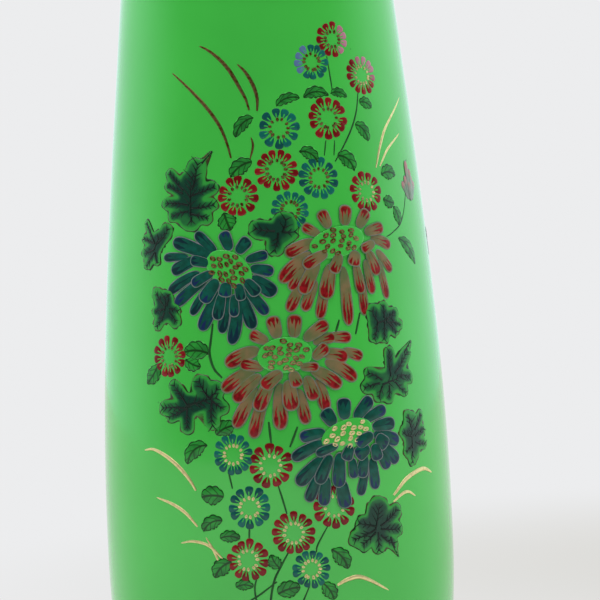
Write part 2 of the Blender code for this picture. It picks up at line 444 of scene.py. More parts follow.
def build_rim(material):
    """The brass binding: a rolled bead over the lip, a flat band and a fine thread at its lower edge."""
    low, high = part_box("rim_binding")
    top, out = high.z, high.x
    section = [
        (out - 2.4 * MM, top), (out - 1.1 * MM, top), (out - 0.25 * MM, top - 0.7 * MM),
        (out, top - 1.7 * MM), (out - 0.3 * MM, top - 2.7 * MM), (out - 0.75 * MM, top - 3.1 * MM),
        (out - 0.75 * MM, top - 4.9 * MM), (out - 0.45 * MM, top - 5.2 * MM),
        (out - 0.45 * MM, top - 5.8 * MM), (out - 0.8 * MM, top - 6.1 * MM),
        (out - 1.0 * MM, low.z), (out - 1.75 * MM, low.z), (out - 0.9 * MM, top - 2.3 * MM),
        (out - 5.0 * MM, top - 2.3 * MM), (out - 5.7 * MM, top - 5.6 * MM),
        (out - 6.3 * MM, top - 5.6 * MM), (out - 5.9 * MM, top - 2.0 * MM),
        (out - 5.0 * MM, top - 0.5 * MM), (out - 3.8 * MM, top),
    ]
    mesh = turned_mesh(rounded(section), closed=True)
    return add_piece("lip_binding", mesh, material, "rim_binding")


def build_foot(material):
    """The foot ring: a fillet under the wall, a hollow, a bead to stand on and a plain inner side."""
    _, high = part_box("foot_ring")
    out, top = high.x, high.z
    inner = min(math.hypot(v.co.x, v.co.y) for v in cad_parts["foot_ring"].data.vertices)
    section = [
        (out - 0.4 * MM, top), (out, top - 0.35 * MM), (out - 0.05 * MM, top - 1.0 * MM),
        (out - 0.8 * MM, top - 1.5 * MM), (out - 2.1 * MM, top - 2.7 * MM),
        (out - 2.5 * MM, top - 4.2 * MM), (out - 2.2 * MM, top - 5.1 * MM),
        (out - 1.5 * MM, top - 5.5 * MM), (out - 1.4 * MM, top - 6.2 * MM), (out - 2.0 * MM, 0.0),
        (inner + 0.9 * MM, 0.0), (inner + 0.2 * MM, 0.5 * MM), (inner, 1.4 * MM), (inner, top),
    ]
    mesh = turned_mesh(rounded(section), closed=True)
    return add_piece("foot_mount", mesh, material, "foot_ring")


# ---------------------------------------------------------------------------- trees for the spray

def add_pillow(tree, blunt, segments=10, rings=9):
    """A closed unit pillow: blunt 0.5 has broad ends, 0 is an oval and less than 0 is pointed. It
    carries across and along, from -1 to 1, and rise, 1 at its crown."""
    sockets = {"Segments": segments, "Rings": rings, "Radius": 1.0}
    ball = tree.node("GeometryNodeMeshUVSphere", None, sockets)
    x, y, z = tree.split(tree.node("GeometryNodeInputPosition"))
    fullness = (1 + z * z) ** blunt if blunt >= 0 else (1 - z * z).at_least(0.0) ** -blunt
    across = x * fullness
    return tree.store(ball, across=across, along=z, rise=y)


def lay_pillows(tree, geometry):
    """Bends pillows along their headings, narrower at the root, and lays them on the wall."""
    share = tree.named("along") * 0.5 + 0.5
    start, reach, taper = tree.named("start"), tree.named("reach"), tree.input("Taper")
    heading, curl = tree.named("heading"), tree.named("curl")
    wide = tree.named("across") * tree.named("half") * (taper + (1 - taper) * share)
    length = start + share * (reach - start)
    turn, lean = heading + curl * share, heading + curl * share * 0.5
    across = tree.named("root_x") + length * lean.cos() - wide * turn.sin()
    up = tree.named("root_y") + length * lean.sin() + wide * turn.cos()
    rise = tree.named("rise")
    lift = tree.named("level") + rise.at_least(0.0) * tree.input("Dome") + rise.at_most(0.0) * SINK
    return tree.lay_on_wall(geometry, across, up, lift)


PILLOW = {**PLACE, "Taper": "Float", "Dome": "Float"}


def ring_of_petals_tree():
    """A ring of petals of one length round a centre, from a first heading up to a last one."""
    tree = Tree(
        "ring_of_petals", **PILLOW, Petals="Int", First="Float", Last="Float", Start="Float",
        Reach="Float", Half="Float", Ragged="Float", Blush="Float", Blushing="Float",
    )
    count, ragged = tree.input("Petals"), tree.input("Ragged")
    points = tree.node("GeometryNodePoints", None, {"Count": count})
    index = tree.node("GeometryNodeInputIndex")
    wobble = tree.random(-0.18, 0.18, 1) * ragged
    turn = (index + 0.5 + wobble) / count * (tree.input("Last") - tree.input("First"))
    points = tree.store(
        points,
        root_x=0.0,
        root_y=0.0,
        heading=tree.input("First") + turn,
        reach=tree.input("Reach") * (1 + tree.random(-0.09, 0.06, 2) * ragged),
        start=tree.input("Start"),
        half=tree.input("Half") * (1 + tree.random(-0.12, 0.1, 3) * ragged),
        curl=tree.random(-0.1, 0.1, 4) * ragged,
        level=0.01 * MM + (index % 2.0) * (0.02 * MM),
        pick=tree.random(0.0, 1.0, 5),
    )
    faded = (tree.named("heading") - tree.input("Blush")).cos() * tree.input("Blushing")
    points = tree.store(points, faded=faded)
    return tree.finish(lay_pillows(tree, tree.copies(points, add_pillow(tree, blunt=0.2))))


def placed_petals_tree(name, blunt=0.5, **resolution):
    """A petal or small leaf on each given point, which carries its heading, reach, half and curl."""
    tree = Tree(name, **PILLOW, Level="Float", Step="Float")
    x, y, _ = tree.split(tree.node("GeometryNodeInputPosition"))
    index = tree.node("GeometryNodeInputIndex")
    points = tree.store(
        tree.input("Geometry"), root_x=x, root_y=y, start=0.0,
        level=tree.input("Level") + index * tree.input("Step"), pick=tree.random(0.0, 1.0, 3),
    )
    return tree.finish(lay_pillows(tree, tree.copies(points, add_pillow(tree, blunt, **resolution))))


def petal_points(rows):
    """Points that carry a petal each, from rows of root, reach, half width, heading and bend."""
    mesh = bpy.data.meshes.new("roots")
    mesh.from_pydata([(x, y, 0.0) for x, y, *_ in rows], [], [])
    for column, name in enumerate(("reach", "half", "heading", "curl"), start=2):
        values = [row[column] for row in rows]
        mesh.attributes.new(name, "FLOAT", "POINT").data.foreach_set("value", values)
    return mesh


def eye_tree():
    """The plain oval eye of a chrysanthemum: one low pillow with a level crown."""
    tree = Tree("eyes", **PLACE, Wide="Float", High="Float", Tilt="Float", Level="Float")
    sockets = {"Segments": 48, "Rings": 12, "Radius": 1.0}
    ball = tree.node("GeometryNodeMeshUVSphere", None, sockets)
    x, y, z = tree.split(tree.node("GeometryNodeInputPosition"))
    ball = tree.store(ball, from_middle=(x * x + y * y).root())
    x, y, tilt = x * tree.input("Wide"), y * tree.input("High"), tree.input("Tilt")
    across, up = x * tilt.cos() - y * tilt.sin(), x * tilt.sin() + y * tilt.cos()
    lift = tree.input("Level") + z.at_least(0.0) * (0.12 * MM) + z.at_most(0.0) * (0.5 * MM)
    return tree.finish(tree.lay_on_wall(ball, across, up, lift))


def ring_tree():
    """Small gilt rings. Packed, they fill an oval like seeds in a head; otherwise they form a circle."""
    tree = Tree(
        "gilt_rings", **PLACE, Count="Int", Wide="Float", High="Float", Tilt="Float",
        Packed="Float", Long="Float", Short="Float", Wire="Float", Level="Float",
    )
    count, packed, tilt = tree.input("Count"), tree.input("Packed"), tree.input("Tilt")
    index = tree.node("GeometryNodeInputIndex")
    golden = math.pi * (3 - math.sqrt(5))
    angle = index * (packed * golden + (1 - packed) * (2 * math.pi) / count)
    angle = angle + tree.random(-0.12, 0.12, 1)
    share = packed * (((index + 0.6) / count).root() * 0.9 - 1) + 1 + tree.random(-0.03, 0.03, 2)
    x, y = angle.cos() * share * tree.input("Wide"), angle.sin() * share * tree.input("High")
    points = tree.node("GeometryNodePoints", None, {"Count": count})
    points = tree.store(
        points,
        root_x=x * tilt.cos() - y * tilt.sin(),
        root_y=x * tilt.sin() + y * tilt.cos(),
        heading=packed * (tilt + tree.random(-0.5, 0.5, 3)) + (1 - packed) * angle,
        size=1 + tree.random(-0.15, 0.15, 4),
        pick=tree.random(0.0, 1.0, 5),
    )
    # The ring is made fat, and keeps where each point is round the wire, to be thinned when laid.
    fat = 0.45
    circle = tree.node("GeometryNodeCurvePrimitiveCircle", None, {"Resolution": 14, "Radius": 1.0})
    wire = tree.node("GeometryNodeCurvePrimitiveCircle", None, {"Resolution": 5, "Radius": fat})
    ring = tree.node("GeometryNodeCurveToMesh", None, {"Curve": circle, "Profile Curve": wire})
    px, py, pz = tree.split(tree.node("GeometryNodeInputPosition"))
    far = (px * px + py * py).root()
    ring = tree.store(ring, ring_x=px / far, ring_y=py / far, out=(far - 1) / fat, rise=pz / fat)
    rings = tree.copies(points, ring)
    size, heading = tree.named("size"), tree.named("heading")
    edge = tree.named("out") * tree.input("Wire")
    x = tree.named("ring_x") * (tree.input("Long") * size + edge)
    y = tree.named("ring_y") * (tree.input("Short") * size + edge)
    across = tree.named("root_x") + x * heading.cos() - y * heading.sin()
    up = tree.named("root_y") + x * heading.sin() + y * heading.cos()
    lift = tree.input("Level") + tree.named("rise") * tree.input("Wire") * 0.6
    return tree.finish(tree.lay_on_wall(rings, across, up, lift))


def stroke_tree():
    """Brush strokes: each spline becomes a flattened rod as thick as its points say."""
    tree = Tree("strokes", **PLACE, Level="Float", Flatness="Float")
    profile = tree.node("GeometryNodeCurvePrimitiveCircle", None, {"Resolution": 6, "Radius": 1.0})
    thickness = tree.node("GeometryNodeInputRadius")
    sockets = {
        "Curve": tree.input("Geometry"), "Profile Curve": profile, "Scale": thickness, "Fill Caps": True,
    }
    rods = tree.node("GeometryNodeCurveToMesh", None, sockets)
    x, y, z = tree.split(tree.node("GeometryNodeInputPosition"))
    lift = tree.input("Level") + z * tree.input("Flatness")
    return tree.finish(tree.lay_on_wall(rods, x, y, lift))


def flat_tree():
    """Lays a piece that is already modelled flat on the wall."""
    tree = Tree("laid_flat", **PLACE)
    x, y, z = tree.split(tree.node("GeometryNodeInputPosition"))
    return tree.finish(tree.lay_on_wall(tree.input("Geometry"), x, y, z))


def place_of(azimuth, height, seed=0):
    """A tree's inputs for a piece centred at an azimuth in degrees and a height in millimetres."""
    height = height * MM
    return {
        "Azimuth": math.radians(azimuth), "Height": height, "Radius": wall_radius(height),
        "Seed": seed,
    }


WIDE_PLACE = {"Azimuth": 0.0, "Height": 0.0, "Radius": SPREAD, "Seed": 5}


# ---------------------------------------------------------------------------- finishes

GREEN = (0.066, 0.640, 0.074)
GREEN_DEEP = (0.058, 0.590, 0.066)
PETAL_LINE = (0.230, 0.235, 0.250)


def ground_colour(finish):
    """The ground's green, with the faint clouding of fired enamel and a few pin-prick bubbles."""
    cloud = finish.noise(scale=22.0, detail=3.0)
    green = finish.mix(cloud.ramp(0.3, 0.7), GREEN_DEEP, GREEN)
    cells = {"Vector": finish.place, "Scale": 160.0, "Randomness": 1.0}
    bubble = finish.node("ShaderNodeTexVoronoi", None, cells, "Distance")
    chosen = bubble.output("Color")
    rare = finish.node("ShaderNodeSeparateColor", None, {0: chosen}) > 0.93
    return finish.mix(bubble.ramp(0.065, 0.04) * rare * 0.35, green, (0.012, 0.140, 0.018))


def glossy_enamel(name, **more):
    return Finish(name, Roughness=0.1, IOR=1.5, Coat_Weight=0.35, Coat_Roughness=0.04, **more)


def satin_enamel(name):
    """The painted enamels of the spray, which melt into the ground and shine less than it."""
    return Finish(name, Roughness=0.3, IOR=1.5, Specular_IOR_Level=0.34)


def fired_surface(finish, ripple=0.05):
    """The soft ripple and slight unevenness in gloss of polished enamel."""
    finish.relief(finish.noise(scale=75.0, detail=2.0), ripple, 1.0 * MM)
    finish.set(Roughness=finish.noise(scale=240.0) * 0.08 + 0.07)


def ground_enamel():
    finish = glossy_enamel("ground green enamel")
    finish.set(Base_Color=ground_colour(finish))
    fired_surface(finish)
    return finish.material


def lining_enamel():
    """Counter enamel: a plainer blue-green with the mottling and pits of an unpolished coat."""
    finish = glossy_enamel("counter enamel")
    mottle = finish.noise(scale=90.0, detail=5.0, roughness=0.65)
    colour = finish.mix(mottle.ramp(0.35, 0.65), (0.030, 0.180, 0.110), (0.060, 0.290, 0.180))
    speck = finish.noise(scale=700.0, detail=1.0).ramp(0.66, 0.72)
    finish.set(Base_Color=finish.mix(speck, colour, (0.35, 0.50, 0.42)))
    finish.relief(finish.noise(scale=130.0, detail=3.0), 0.12, 1.0 * MM)
    finish.set(Roughness=mottle * 0.2 + 0.12)
    return finish.material


def turned_brass():
    """Brass with the fine rings that turning leaves, dulled and browned in patches."""
    finish = Finish("turned brass", Metallic=1.0)
    patch = finish.noise(scale=60.0, detail=4.0, roughness=0.6)
    x, y, z = finish.split(finish.place)
    rings = ((z + (x * x + y * y).root()) * 9000.0).sin() * 0.5 + 0.5
    colour = finish.mix(patch.ramp(0.35, 0.75), (0.80, 0.60, 0.27), (0.50, 0.33, 0.13))
    finish.set(Base_Color=colour, Roughness=patch * 0.25 + rings * 0.05 + 0.14)
    finish.relief(rings, 0.08, 0.1 * MM)
    return finish.material


def gilding(name, bright, dark_reflection_and_wear_colour):
    """Metal in two shades, browner where worn and, high up save on the right, as a painted dark
    reflection.
    """
    finish = Finish(name, Metallic=1.0)
    wear = finish.noise(scale=900.0, detail=3.0)
    side, _, height = finish.split(finish.place)
    # Painted dark reflection: browner high up and not far right, plus a little from real wear.
    brown = height.ramp(0.118, 0.150) * side.ramp(0.040, 0.026) * 0.85 + wear.ramp(0.4, 0.8) * 0.25
    colour = finish.mix(brown.at_most(1.0), bright, dark_reflection_and_wear_colour)
    finish.set(Base_Color=colour, Roughness=wear * 0.25 + 0.28)
    return finish.material


def from_outline(finish, pointed=False):
    """Metres from a point on a petal to its outline, worked out from the petal's own coordinates."""
    across, along = finish.named("across"), finish.named("along")
    reach, half = finish.named("reach"), finish.named("half")
    if pointed:
        inside, rate = 1 - along * along - abs(across) ** 1.25, along * 4
    else:
        inside, rate = 1 - across * across - along**4, along * along * along * 8
    slope = ((rate / reach) ** 2 + (across * 2 / half) ** 2 + 1 / half).root()
    return inside / slope


def brush_marks(finish, edge, full, longest, bristles):
    """Strokes that start solid near the tip and split into bristles down the petal."""
    across, along, pick = (finish.named(n) for n in ("across", "along", "pick"))
    fan = across / (along * 0.3 + 0.8) + (finish.noise(scale=240.0) - 0.5) * 0.5
    comb = ((fan * bristles + pick * 2.0) * math.pi).cos()
    lengths = ((fan * bristles * 0.45 + pick * 9.0) * math.pi).cos() * 0.55
    uneven = finish.noise(scale=800.0) * 0.6 + pick * 0.5 + lengths
    need = along.ramp(full, longest) * 2.6 - 1.7 + uneven
    return (comb - need).ramp(-0.2, 0.2) * edge.ramp(LINE * 1.5, LINE * 2.1)


def blue_petals():
    finish = satin_enamel("deep blue-green petals")
    across, pick = finish.named("across"), finish.named("pick")
    edge = from_outline(finish)
    wash = finish.noise(scale=420.0, detail=3.0)
    body = finish.mix(wash.ramp(0.3, 0.75), (0.004, 0.072, 0.046), (0.005, 0.125, 0.086))
    body = finish.mix(across.ramp(0.1, 1.2) * 0.5, body, (0.004, 0.040, 0.038))
    strokes = brush_marks(finish, edge, full=0.95, longest=0.0, bristles=2.6)
    navy = finish.mix(pick.ramp(0.4, 0.8), (0.003, 0.016, 0.032), (0.012, 0.014, 0.120))
    body = finish.mix(strokes * 0.8, body, navy)
    body = finish.mix(edge.ramp(LINE * 1.7, LINE * 1.2) * 0.75, body, (0.004, 0.022, 0.040))
    line = finish.mix(finish.noise(scale=300.0).ramp(0.3, 0.7), (0.110, 0.210, 0.170), PETAL_LINE)
    finish.set(Base_Color=finish.mix(edge.ramp(LINE * 1.15, LINE * 0.75), body, line))
    fired_surface(finish, 0.1)
    return finish.material


def red_petals():
    finish = satin_enamel("rose petals with red brush marks")
    along = finish.named("along")
    edge = from_outline(finish)
    wash = finish.noise(scale=300.0, detail=3.0)
    body = finish.mix(wash.ramp(0.3, 0.7), (0.155, 0.175, 0.060), (0.285, 0.185, 0.085))
    body = finish.mix(along.ramp(0.1, -0.9) * 0.35, body, (0.110, 0.200, 0.090))
    strokes = brush_marks(finish, edge, full=0.75, longest=-0.3, bristles=3.4)
    bright = finish.noise(scale=600.0).ramp(0.3, 0.7)
    crimson = finish.mix(bright, (0.180, 0.003, 0.005), (0.380, 0.011, 0.015))
    body = finish.mix(strokes, body, crimson)
    line = finish.mix(finish.noise(scale=300.0).ramp(0.3, 0.7), (0.120, 0.210, 0.120), PETAL_LINE)
    finish.set(Base_Color=finish.mix(edge.ramp(LINE * 0.9, LINE * 0.5), body, line))
    fired_surface(finish, 0.1)
    return finish.material


def blossom_petals(name, dark, light, pale):
    """Short petals, each with a slit of the ground's green at its inner end."""
    finish = satin_enamel(name)
    across, along, pick = (finish.named(n) for n in ("across", "along", "pick"))
    wash = finish.noise(scale=900.0, detail=2.0)
    body = finish.mix((wash * 0.6 + pick * 0.5).ramp(0.25, 0.8), dark, light)
    body = finish.mix(finish.named("faded").ramp(0.2, 0.8), body, pale)
    slit = abs(across + (pick - 0.5) * 0.3).ramp(0.24, 0.12) * along.ramp(0.1, -0.2)
    finish.set(Base_Color=finish.mix(slit, body, GREEN_DEEP))
    fired_surface(finish, 0.1)
    return finish.material


def leaf_enamel():
    """Pale green at the rim, deepening to blue-black along the ribs, inside a thin brown outline."""
    finish = satin_enamel("leaf green enamel")
    edge, depth = finish.named("edge"), finish.named("depth")
    wash = finish.noise(scale=230.0, detail=4.0)
    patch = finish.noise(scale=110.0, detail=1.0)
    worn = (depth + (wash - 0.5) * 0.8 + (patch - 0.5) * 0.9) * edge.ramp(0.2 * MM, 1.8 * MM)
    body = finish.mix(worn.ramp(0.16, 0.58), (0.038, 0.380, 0.052), (0.019, 0.165, 0.044))
    body = finish.mix(worn.ramp(0.52, 0.95), body, (0.006, 0.054, 0.030))
    line = finish.mix(wash.ramp(0.4, 0.6), (0.075, 0.070, 0.024), (0.012, 0.034, 0.010))
    finish.set(Base_Color=finish.mix(edge.ramp(0.44 * MM, 0.24 * MM), body, line))
    fired_surface(finish, 0.1)
    return finish.material


def small_leaf_enamel():
    """A drawn leaf with a scalloped outline, a rib and side veins; the ground shows outside the line."""
    finish = satin_enamel("small leaf enamel")
    across, along, pick = (finish.named(n) for n in ("across", "along", "pick"))
    notch = 1 - abs(((along * 2.1 + pick * 3.0) * math.pi).cos())
    edge = from_outline(finish, pointed=True) - notch * 0.34 * MM
    wash = finish.noise(scale=300.0, detail=2.0)
    body = finish.mix(wash.ramp(0.3, 0.7), (0.030, 0.380, 0.044), (0.018, 0.200, 0.032))
    rib = abs(across).ramp(0.15, 0.07)
    veins = (((along * 0.9 - abs(across) * 0.7) * 4.0) * math.pi).cos().ramp(0.70, 0.95)
    line = edge.ramp(0.44 * MM, 0.26 * MM).at_least(rib * 0.9).at_least(veins * 0.75)
    body = finish.mix(line, body, (0.008, 0.038, 0.008))
    finish.set(Base_Color=finish.mix(edge.ramp(0.04 * MM, -0.02 * MM), body, GREEN))
    fired_surface(finish, 0.1)
    return finish.material


def bud_enamel():
    """Grey-lilac petals that flush pink at their tips."""
    finish = satin_enamel("grey-lilac bud petals")
    edge, along = from_outline(finish), finish.named("along")
    wash = finish.noise(scale=300.0, detail=2.0)
    body = finish.mix(wash.ramp(0.3, 0.7), (0.150, 0.260, 0.150), (0.290, 0.300, 0.230))
    body = finish.mix(along.ramp(0.1, 0.9) * 0.8, body, (0.560, 0.150, 0.150))
    finish.set(Base_Color=finish.mix(edge.ramp(LINE, LINE * 0.6), body, PETAL_LINE))
    fired_surface(finish, 0.1)
    return finish.material


def ink(name, colour, other):
    finish = satin_enamel(name)
    finish.set(Base_Color=finish.mix(finish.noise(scale=350.0).ramp(0.3, 0.7), colour, other))
    return finish.material


# ---------------------------------------------------------------------------- the spray's design

# Each bloom's centre, as azimuth in degrees and height in millimetres; its eye's half axes in
# millimetres and tilt in degrees; its count of stamens; and its petals, lowest first. A petal is where
# its root and its tip are, its half width, all in millimetres, and its bend in degrees.
CHRYSANTHEMUMS = {
    "chrysanthemum_blue_upper": ((-12.6, 170.9), (8.4, 5.6, -33), 21, [
        (-14.0, 4.6, -24.4, 4.9, 1.7, 12), (-10.5, 4.0, -21.0, 0.0, 2.4, 10),
        (-10.0, -0.5, -22.2, -6.8, 2.1, 20), (-7.5, -2.5, -19.6, -11.0, 2.3, 12),
        (-6.0, -4.0, -13.4, -14.4, 1.9, 5), (-3.0, -7.0, -10.0, -19.6, 2.5, 8),
        (-0.6, -8.0, -2.9, -20.8, 2.0, 0), (3.2, -7.0, 7.4, -19.8, 2.3, -6),
        (2.6, -8.0, 0.0, -24.5, 2.3, -22), (5.0, -6.0, 12.0, -15.3, 2.1, -12),
        (6.6, -3.0, 14.9, -9.0, 2.7, -22), (6.8, 0.0, 14.8, -1.5, 2.1, -12),
        (5.5, 2.6, 13.1, 4.4, 1.9, -8), (3.0, 5.0, 7.2, 9.8, 2.3, -14), (0.6, 6.0, -1.8, 12.6, 2.3, 6),
        (-4.0, 5.6, -11.6, 12.6, 2.0, 6), (-5.5, 4.4, -20.3, 10.2, 2.5, 12),
        (-6.0, 2.0, -13.4, 3.8, 2.0, 6), (-2.2, -7.0, -4.4, -16.4, 2.1, 0),
        (1.6, -8.0, 1.4, -15.6, 1.8, 0), (-3.6, -3.0, -9.2, -10.4, 2.6, 8),
        (-5.0, -0.8, -12.9, -4.5, 2.0, 14), (3.0, -4.6, 4.0, -10.4, 1.9, 0),
        (5.2, -3.6, 9.4, -8.8, 2.2, -10), (-0.8, -4.0, -1.6, -9.0, 2.4, 0),
    ]),
    "chrysanthemum_red_upper": ((25.1, 178.4), (10.2, 5.0, 12), 20, [
        (13.0, 1.0, 22.2, -2.0, 2.1, -24), (15.0, -3.0, 21.3, -10.4, 1.9, -14),
        (15.4, -6.0, 17.9, -19.4, 1.8, -8), (7.6, -10.0, 7.9, -24.6, 1.9, -4),
        (-4.8, -12.0, -8.1, -25.0, 2.0, 4), (-8.5, -12.0, -13.0, -22.2, 2.0, 4),
        (-12.6, -12.0, -17.9, -22.2, 2.1, 6), (1.3, -8.0, 1.7, -27.6, 2.2, -2),
        (-12.0, -7.0, -17.0, -15.2, 1.9, 8), (-9.0, -3.4, -20.0, -12.6, 2.5, 32),
        (-7.4, 0.4, -18.0, -3.8, 2.3, 24), (-6.0, 2.4, -12.0, 5.8, 1.9, 0),
        (-2.6, 4.6, -5.4, 10.6, 2.3, 0), (3.0, 5.2, 4.2, 12.2, 2.5, 0), (8.0, 4.6, 12.8, 10.4, 2.3, 0),
        (10.5, 2.8, 19.2, 4.6, 2.2, -8), (9.8, -6.0, 11.6, -17.6, 1.9, -4),
        (5.8, -7.0, 7.2, -17.4, 2.0, -4), (-7.4, -5.6, -13.4, -16.6, 2.5, 6),
        (-3.0, -7.0, -5.8, -18.6, 2.7, 4), (11.0, -3.0, 14.6, -11.4, 2.4, -8),
        (14.4, -0.4, 8.6, -3.0, 1.9, 0), (-4.0, -3.4, -12.4, -7.8, 2.2, 14),
        (0.4, -3.8, -2.6, -10.2, 2.2, 0), (6.4, -3.0, 4.8, -8.2, 2.5, 0),
    ]),
    "chrysanthemum_red_middle": ((4.7, 142.3), (9.0, 5.8, 4), 24, [
        (19.0, 0.4, 27.0, -2.0, 2.1, -14), (14.0, 5.0, 23.2, 4.6, 2.1, -14),
        (13.0, -2.6, 23.8, -9.4, 2.5, -30), (12.4, 0.0, 21.4, -2.0, 2.4, -20),
        (9.4, 3.6, 17.4, 5.4, 1.9, 0), (10.0, -8.0, 12.6, -18.8, 2.3, -8),
        (3.6, -11.0, 5.9, -22.8, 2.2, -4), (-7.0, -12.0, -11.4, -26.6, 2.3, 6),
        (-2.0, -9.0, -2.5, -24.2, 2.6, 2), (-9.4, -10.0, -17.0, -23.0, 2.4, 10),
        (-9.6, -4.0, -20.8, -11.0, 2.5, 26), (-8.0, 2.0, -19.4, -2.8, 2.6, 34),
        (-8.0, -6.0, -17.0, -14.4, 2.5, 12), (-7.0, -4.0, -14.9, -2.2, 2.1, 14),
        (-5.2, 4.4, -11.2, 7.6, 2.1, 0), (-2.0, 5.4, -3.8, 12.9, 2.5, 0), (3.2, 5.4, 3.9, 13.2, 2.6, 0),
        (6.4, 4.6, 15.0, 10.0, 2.4, -4), (9.0, -1.6, 14.4, 2.6, 2.2, 0),
        (8.0, -5.0, 18.0, -11.4, 2.6, -24), (-4.6, -7.0, -9.6, -17.8, 2.6, 6),
        (0.6, -8.0, 1.4, -18.2, 2.8, 0), (6.4, -7.0, 9.0, -15.2, 2.4, -6),
        (4.6, -4.2, 11.0, -4.4, 1.7, -10), (-1.2, -5.4, -7.8, -10.4, 2.5, 12),
        (2.0, -5.2, 3.8, -10.6, 2.2, 0),
    ]),
    "chrysanthemum_blue_lower": ((23.8, 115.6), (9.4, 4.8, 14), 18, [
        (6.4, -11.0, 3.4, -20.4, 1.9, 6), (8.6, -8.0, 9.2, -18.8, 2.2, -8),
        (11.0, -5.0, 15.0, -12.4, 2.4, -10), (12.0, -4.0, 19.4, -10.6, 2.5, -16),
        (9.4, -0.8, 20.6, -3.8, 2.5, -16), (9.2, 1.6, 19.2, 2.4, 2.4, -12),
        (6.0, 4.0, 15.6, 7.6, 2.2, -8), (2.8, 4.6, 10.0, 11.4, 2.5, -6), (-0.8, 4.6, -0.6, 12.0, 2.7, 0),
        (-4.4, 3.0, -7.8, 8.6, 2.6, 0), (-7.6, 1.2, -16.4, -0.4, 2.2, 10),
        (-8.0, -2.0, -19.2, -7.2, 2.2, 16), (-10.4, -12.0, -14.6, -21.2, 2.1, 4),
        (-8.6, -7.0, -17.8, -15.6, 2.5, 14), (-8.0, -13.0, -9.6, -22.8, 2.2, 4),
        (-3.6, -14.0, -2.0, -24.0, 2.6, -4), (5.8, -7.0, 4.0, -14.6, 2.3, 4),
        (1.0, -7.6, 1.4, -14.6, 1.9, 0), (-6.2, -6.2, -11.0, -15.6, 2.3, 8),
        (-3.2, -5.6, -4.2, -17.2, 2.5, 2), (10.4, -1.4, 14.8, -5.0, 2.7, -8),
        (9.4, -3.6, 10.8, -9.4, 2.4, -4), (7.6, -4.4, 2.4, -7.6, 2.6, 8),
        (-3.6, -3.4, -11.4, -6.0, 1.7, 10), (0.8, -3.6, -1.4, -8.6, 2.2, 4),
        (9.4, -0.6, 2.8, -3.8, 2.3, 12),
    ]),
}
# Azimuth in degrees, height and radius in millimetres.
BLOSSOMS = {
    "blossom_red_01": (30.5, 245.7, 6.0),
    "blossom_blue_01": (20.8, 238.1, 6.1),
    "blossom_red_02": (42.9, 233.9, 6.6),
    "blossom_blue_02": (6.7, 216.4, 6.9),
    "blossom_red_03": (25.5, 219.4, 7.3),
    "blossom_red_04": (5.0, 202.7, 7.1),
    "blossom_red_05": (-8.8, 194.7, 6.9),
    "blossom_blue_03": (20.1, 199.6, 7.0),
    "blossom_blue_04": (9.0, 189.4, 6.4),
    "blossom_red_06": (39.0, 194.9, 6.9),
    "blossom_red_07": (-35.1, 143.3, 6.9),
    "blossom_blue_05": (-13.1, 110.8, 6.8),
    "blossom_red_08": (-1.4, 106.8, 7.4),
    "blossom_blue_06": (-8.5, 93.5, 7.1),
    "blossom_red_09": (4.9, 84.7, 7.2),
    "blossom_red_10": (18.1, 92.6, 7.4),
    "blossom_red_11": (-9.7, 76.5, 7.0),
    "blossom_blue_07": (9.9, 72.7, 6.4),
    "blossom_red_12": (97.0, 215.0, 6.8),
    "blossom_blue_08": (104.0, 193.0, 6.6),
}
# Blossoms with paler petals on one side, in degrees anticlockwise from the right.
FADED = {"blossom_red_01": -5, "blossom_blue_01": 170, "blossom_red_02": 50}
